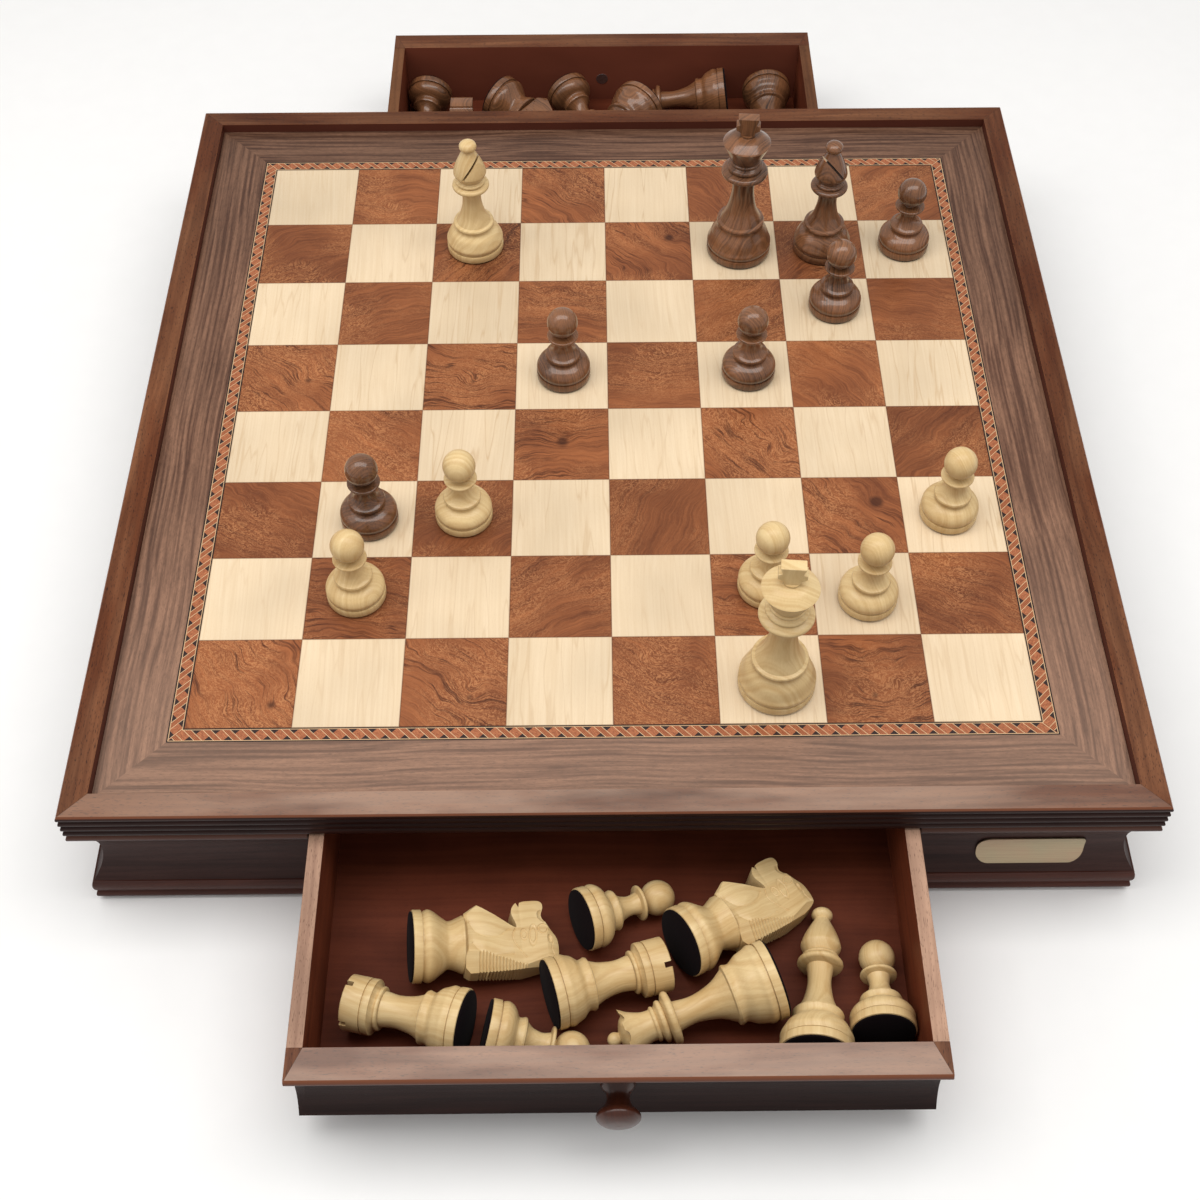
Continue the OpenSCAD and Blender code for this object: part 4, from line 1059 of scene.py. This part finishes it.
def set_the_men():
    """Models one man of each kind and copies it to every place."""
    models = {"pawn": make_pawn(), "rook": make_rook(), "bishop": make_bishop(),
              "queen": make_queen(), "king": make_king(), "knight": make_knight()}
    for model in models.values():
        ease(model, 0, 34)
    pads = {kind: felt_disc(shape.r - 0.7) for kind, shape in MEN.items()}
    for pad in pads.values():
        ease(pad, 0, 40)
    woods = {"pale": "boxwood", "dark": "sheesham"}
    seed = 1
    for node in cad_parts:
        colour, kind = (node.split("_") + [""])[:2]
        if colour not in woods or kind not in models:
            continue
        low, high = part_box(node)
        place = (Matrix.Translation(((low.x + high.x) / 2, (low.y + high.y) / 2, low.z))
                 @ turned_by("Z", FACING.get(node, 0)))
        set_man(models[kind], pads[kind], node + "_turned", place, woods[colour], node, node,
                seed)
        seed += 1
    for colour, nose, body, men in (("pale", FRONT_NOSE, "front_drawer", FRONT_MEN),
                                    ("dark", REAR_NOSE, "rear_drawer", REAR_MEN)):
        for name, x, y, yaw, roll in men:
            kind = name.split("_")[0]
            shape = KNIGHT_ON_MANE if name == "knight_on_mane" else MEN[kind]
            group = kind if kind in ("queen", "bishop") else kind + "s"
            set_man(models[kind], pads[kind], f"{colour}_{name}_lying",
                    lying_place(shape, x, nose + y, yaw, roll), woods[colour], body,
                    f"{colour}_lying_{group}", seed)
            seed += 1
    for part in (*models.values(), *pads.values()):
        bpy.data.objects.remove(part)


# ---- The case and the drawers ----

def make_case():
    """Veneers keep their solids, and boards are copied and eased."""
    for node, finish in (("light_squares", "maple_veneer"), ("dark_squares", "bubinga_veneer"),
                         ("banding", "patterned_banding"), ("border", "walnut_veneer")):
        dress(node, finish)
    seed = 100
    for node, finish, axis, edge in (
            [("frame_" + side, "walnut_frame", "x", 0.5)
             for side in ("front", "right", "back", "left")]
            + [("plinth_" + side, "dark_walnut", "x", 0.35)
               for side in ("left", "right", "front_left", "front_right", "back_left",
                            "back_right")]
            + [("base_moulding", "base_walnut", "x", 0.35),
               ("board_panel", "plain_wood", "x", 0.5),
               ("bottom_board", "plain_wood", "x", 0.5),
               ("corner_blocks", "plain_wood", "z", 0.8),
               ("drawer_guides", "plain_wood", "y", 0.6),
               ("stop_rail", "plain_wood", "x", 0.8),
               ("felt_feet", "black_felt", "x", 0.3),
               ("bare_plate", "gold_plate", "x", 0.15)]):
        piece = copied(node, node + "_piece")
        ease(piece, edge, level=True)
        lay_grain(piece, axis, seed)
        seed += 1
        hand_over(piece, finish, finish.replace("base", "dark"), "case", node)


def make_knob(drawer, yaw, shift):
    """The turned knob, spun upright and laid over to face out of its drawer."""
    r, foot_r, neck_r, length = 9.7, 7.6, 5, 20
    neck_z = 0.42 * length
    knob = turned(drawer + "_knob_turned", [[0, 0], [foot_r - 0.6, 0]] + curve([
        [foot_r, 0.8], [foot_r - 0.2, 2.6], [neck_r + 0.4, 5.4], [neck_r, neck_z],
        [neck_r + 1.4, neck_z + 3], [r - 0.8, length - 6.2], [r, length - 4.2],
        [r - 1.1, length - 2.2], [0.55 * r, length - 0.6], [0, length]], 8))
    ease(knob, 0)
    lay_grain(knob, "z", drawer, 0.05)
    knob.matrix_world = (Matrix.Translation((0, shift * MM, 0)) @ turned_by("Z", yaw)
                         @ Matrix.Translation((0, -KNOB_SEAT * MM, COVE_Z * MM))
                         @ turned_by("X", 90))
    settle(knob)
    hand_over(knob, "knob_wood", "knob_wood", drawer, drawer.split("_")[0] + "_knob")


def make_drawers():
    seed = 200
    for end in ("front", "rear"):
        side, face = end + "_side", end + "_face"
        slots = {face: "walnut_frame", side: "drawer_wood"}
        for part, finish, axis, edge in (("drawer_front", face, "x", 0.4),
                                         ("drawer_left", side, "y", 0.5),
                                         ("drawer_right", side, "y", 0.5),
                                         ("drawer_back", side, "x", 0.5),
                                         ("drawer_bottom", "drawer_wood", "x", 0.2),
                                         ("knob_screw", "zinc_steel", "y", 0.2)):
            node = f"{end}_{part}"
            piece = copied(node, node + "_piece")
            if part == "knob_screw":  # The head is thinned to a flat disc.
                out = -1 if end == "front" else 1
                inside = min if end == "rear" else max
                head = inside(corner.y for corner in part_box(node)) / MM
                slice_off(piece, (0, head + out * 1.5, 0), (0, -out, 0))
            ease(piece, edge, level=True)
            lay_grain(piece, axis, seed)
            seed += 1
            hand_over(piece, finish, slots.get(finish, finish), end + "_drawer", node)
    make_knob("front_drawer", 0, -FRONT_OPEN)
    make_knob("rear_drawer", 180, REAR_OPEN)


def mitre(nose):
    """Slope and start of the line from a drawer's inner corner to the tip of its front."""
    slope = FRONT_T / SIDE_T
    return slope, (abs(nose) - slope * DRAWER_W / 2) * MM


def make_floor():
    rest()
    bpy.ops.mesh.primitive_plane_add(size=12, location=(0, 0, 0))
    floor = bpy.context.object
    floor.name = "paper_floor"
    floor.data.materials.append(pale_floor())


place_camera()
light_the_room()
GROUPS = {"ring_side": make_ring_side(), "plank_grain": make_plank_grain(),
          "turned_grain": make_turned_grain(), "cut_square": make_cut_square()}
# The dark and light of each wood's grain, its pores or inner edges, and how far its nose is worn
# and painted darker as it turns down.
FRAME_TOPS = (92, 55, 35), (138, 90, 60)
DRAWER_FACES = (28, 16, 15), (50, 31, 28)
FINISHES = {name: moulded_walnut(name, *values) for name, *values in (
    ("walnut_frame", FRAME_TOPS, ((30, 14, 12), (54, 30, 25)), (88, 46, 35), 0.9),
    ("front_face", FRAME_TOPS, DRAWER_FACES, (88, 46, 35), 0.9, *mitre(FRONT_NOSE)),
    # The rear face's inner colour is a painted lit copy of the front face's: lighter, standing in
    # for light on that inner face.
    ("rear_face", FRAME_TOPS, DRAWER_FACES, (116, 61, 45), 0.9, *mitre(REAR_NOSE)),
    ("dark_walnut", ((42, 25, 22), (68, 45, 39)), ((42, 27, 25), (70, 48, 44)),
     (84, 42, 30), 0.3),
    ("base_walnut", ((66, 38, 30), (100, 62, 48)), ((52, 27, 22), (82, 46, 37)),
     (84, 42, 30), 0.0))}
FINISHES |= {name: plank_wood(name, *values) for name, *values in (
    ("drawer_wood", (78, 34, 22), (112, 56, 36), (48, 22, 15), 0.5, 0.2, 0.5),
    # The drawers' sides are one wood: the front drawer's are a lit copy and the rear drawer's a
    # shaded copy, with painted light on their upward faces, pale at the front and darker at the
    # back.
    ("front_side", (92, 43, 28), (134, 70, 45), (52, 26, 18), 0.8, 0.5, 0.45,
     ((150, 116, 98), (196, 158, 134))),
    ("rear_side", (84, 38, 26), (124, 64, 42), (48, 22, 15), 0.8, 0.5, 0.45,
     ((86, 54, 36), (126, 84, 56))),
    ("plain_wood", (150, 118, 84), (190, 158, 120), (110, 80, 54), 0.8, 0.5, 0.7))}
# The last number of each turned wood is the share of colour left under its painted shade on the
# faces that look down.
FINISHES |= {name: turned_wood(name, *values) for name, *values in (
    ("knob_wood", (30, 13, 9), (78, 38, 24), 2.2, 0.4, 0.3, 0.3, 0.9),
    ("boxwood", (198, 160, 104), (233, 207, 156), 2.4, 0.5, 0.36, 0.15, 0.7),
    ("sheesham", (26, 13, 9), (158, 106, 70), 0.7, 0.4, 0.3, 0.6, 0.55))}
FINISHES |= {"walnut_veneer": border_veneer(), "maple_veneer": maple_squares(),
             "bubinga_veneer": figured_squares(), "patterned_banding": patterned_banding(),
             "black_felt": felt_pile(), "gold_plate": brushed_gold(), "zinc_steel": zinc()}
make_case()
make_drawers()
set_the_men()
make_floor()
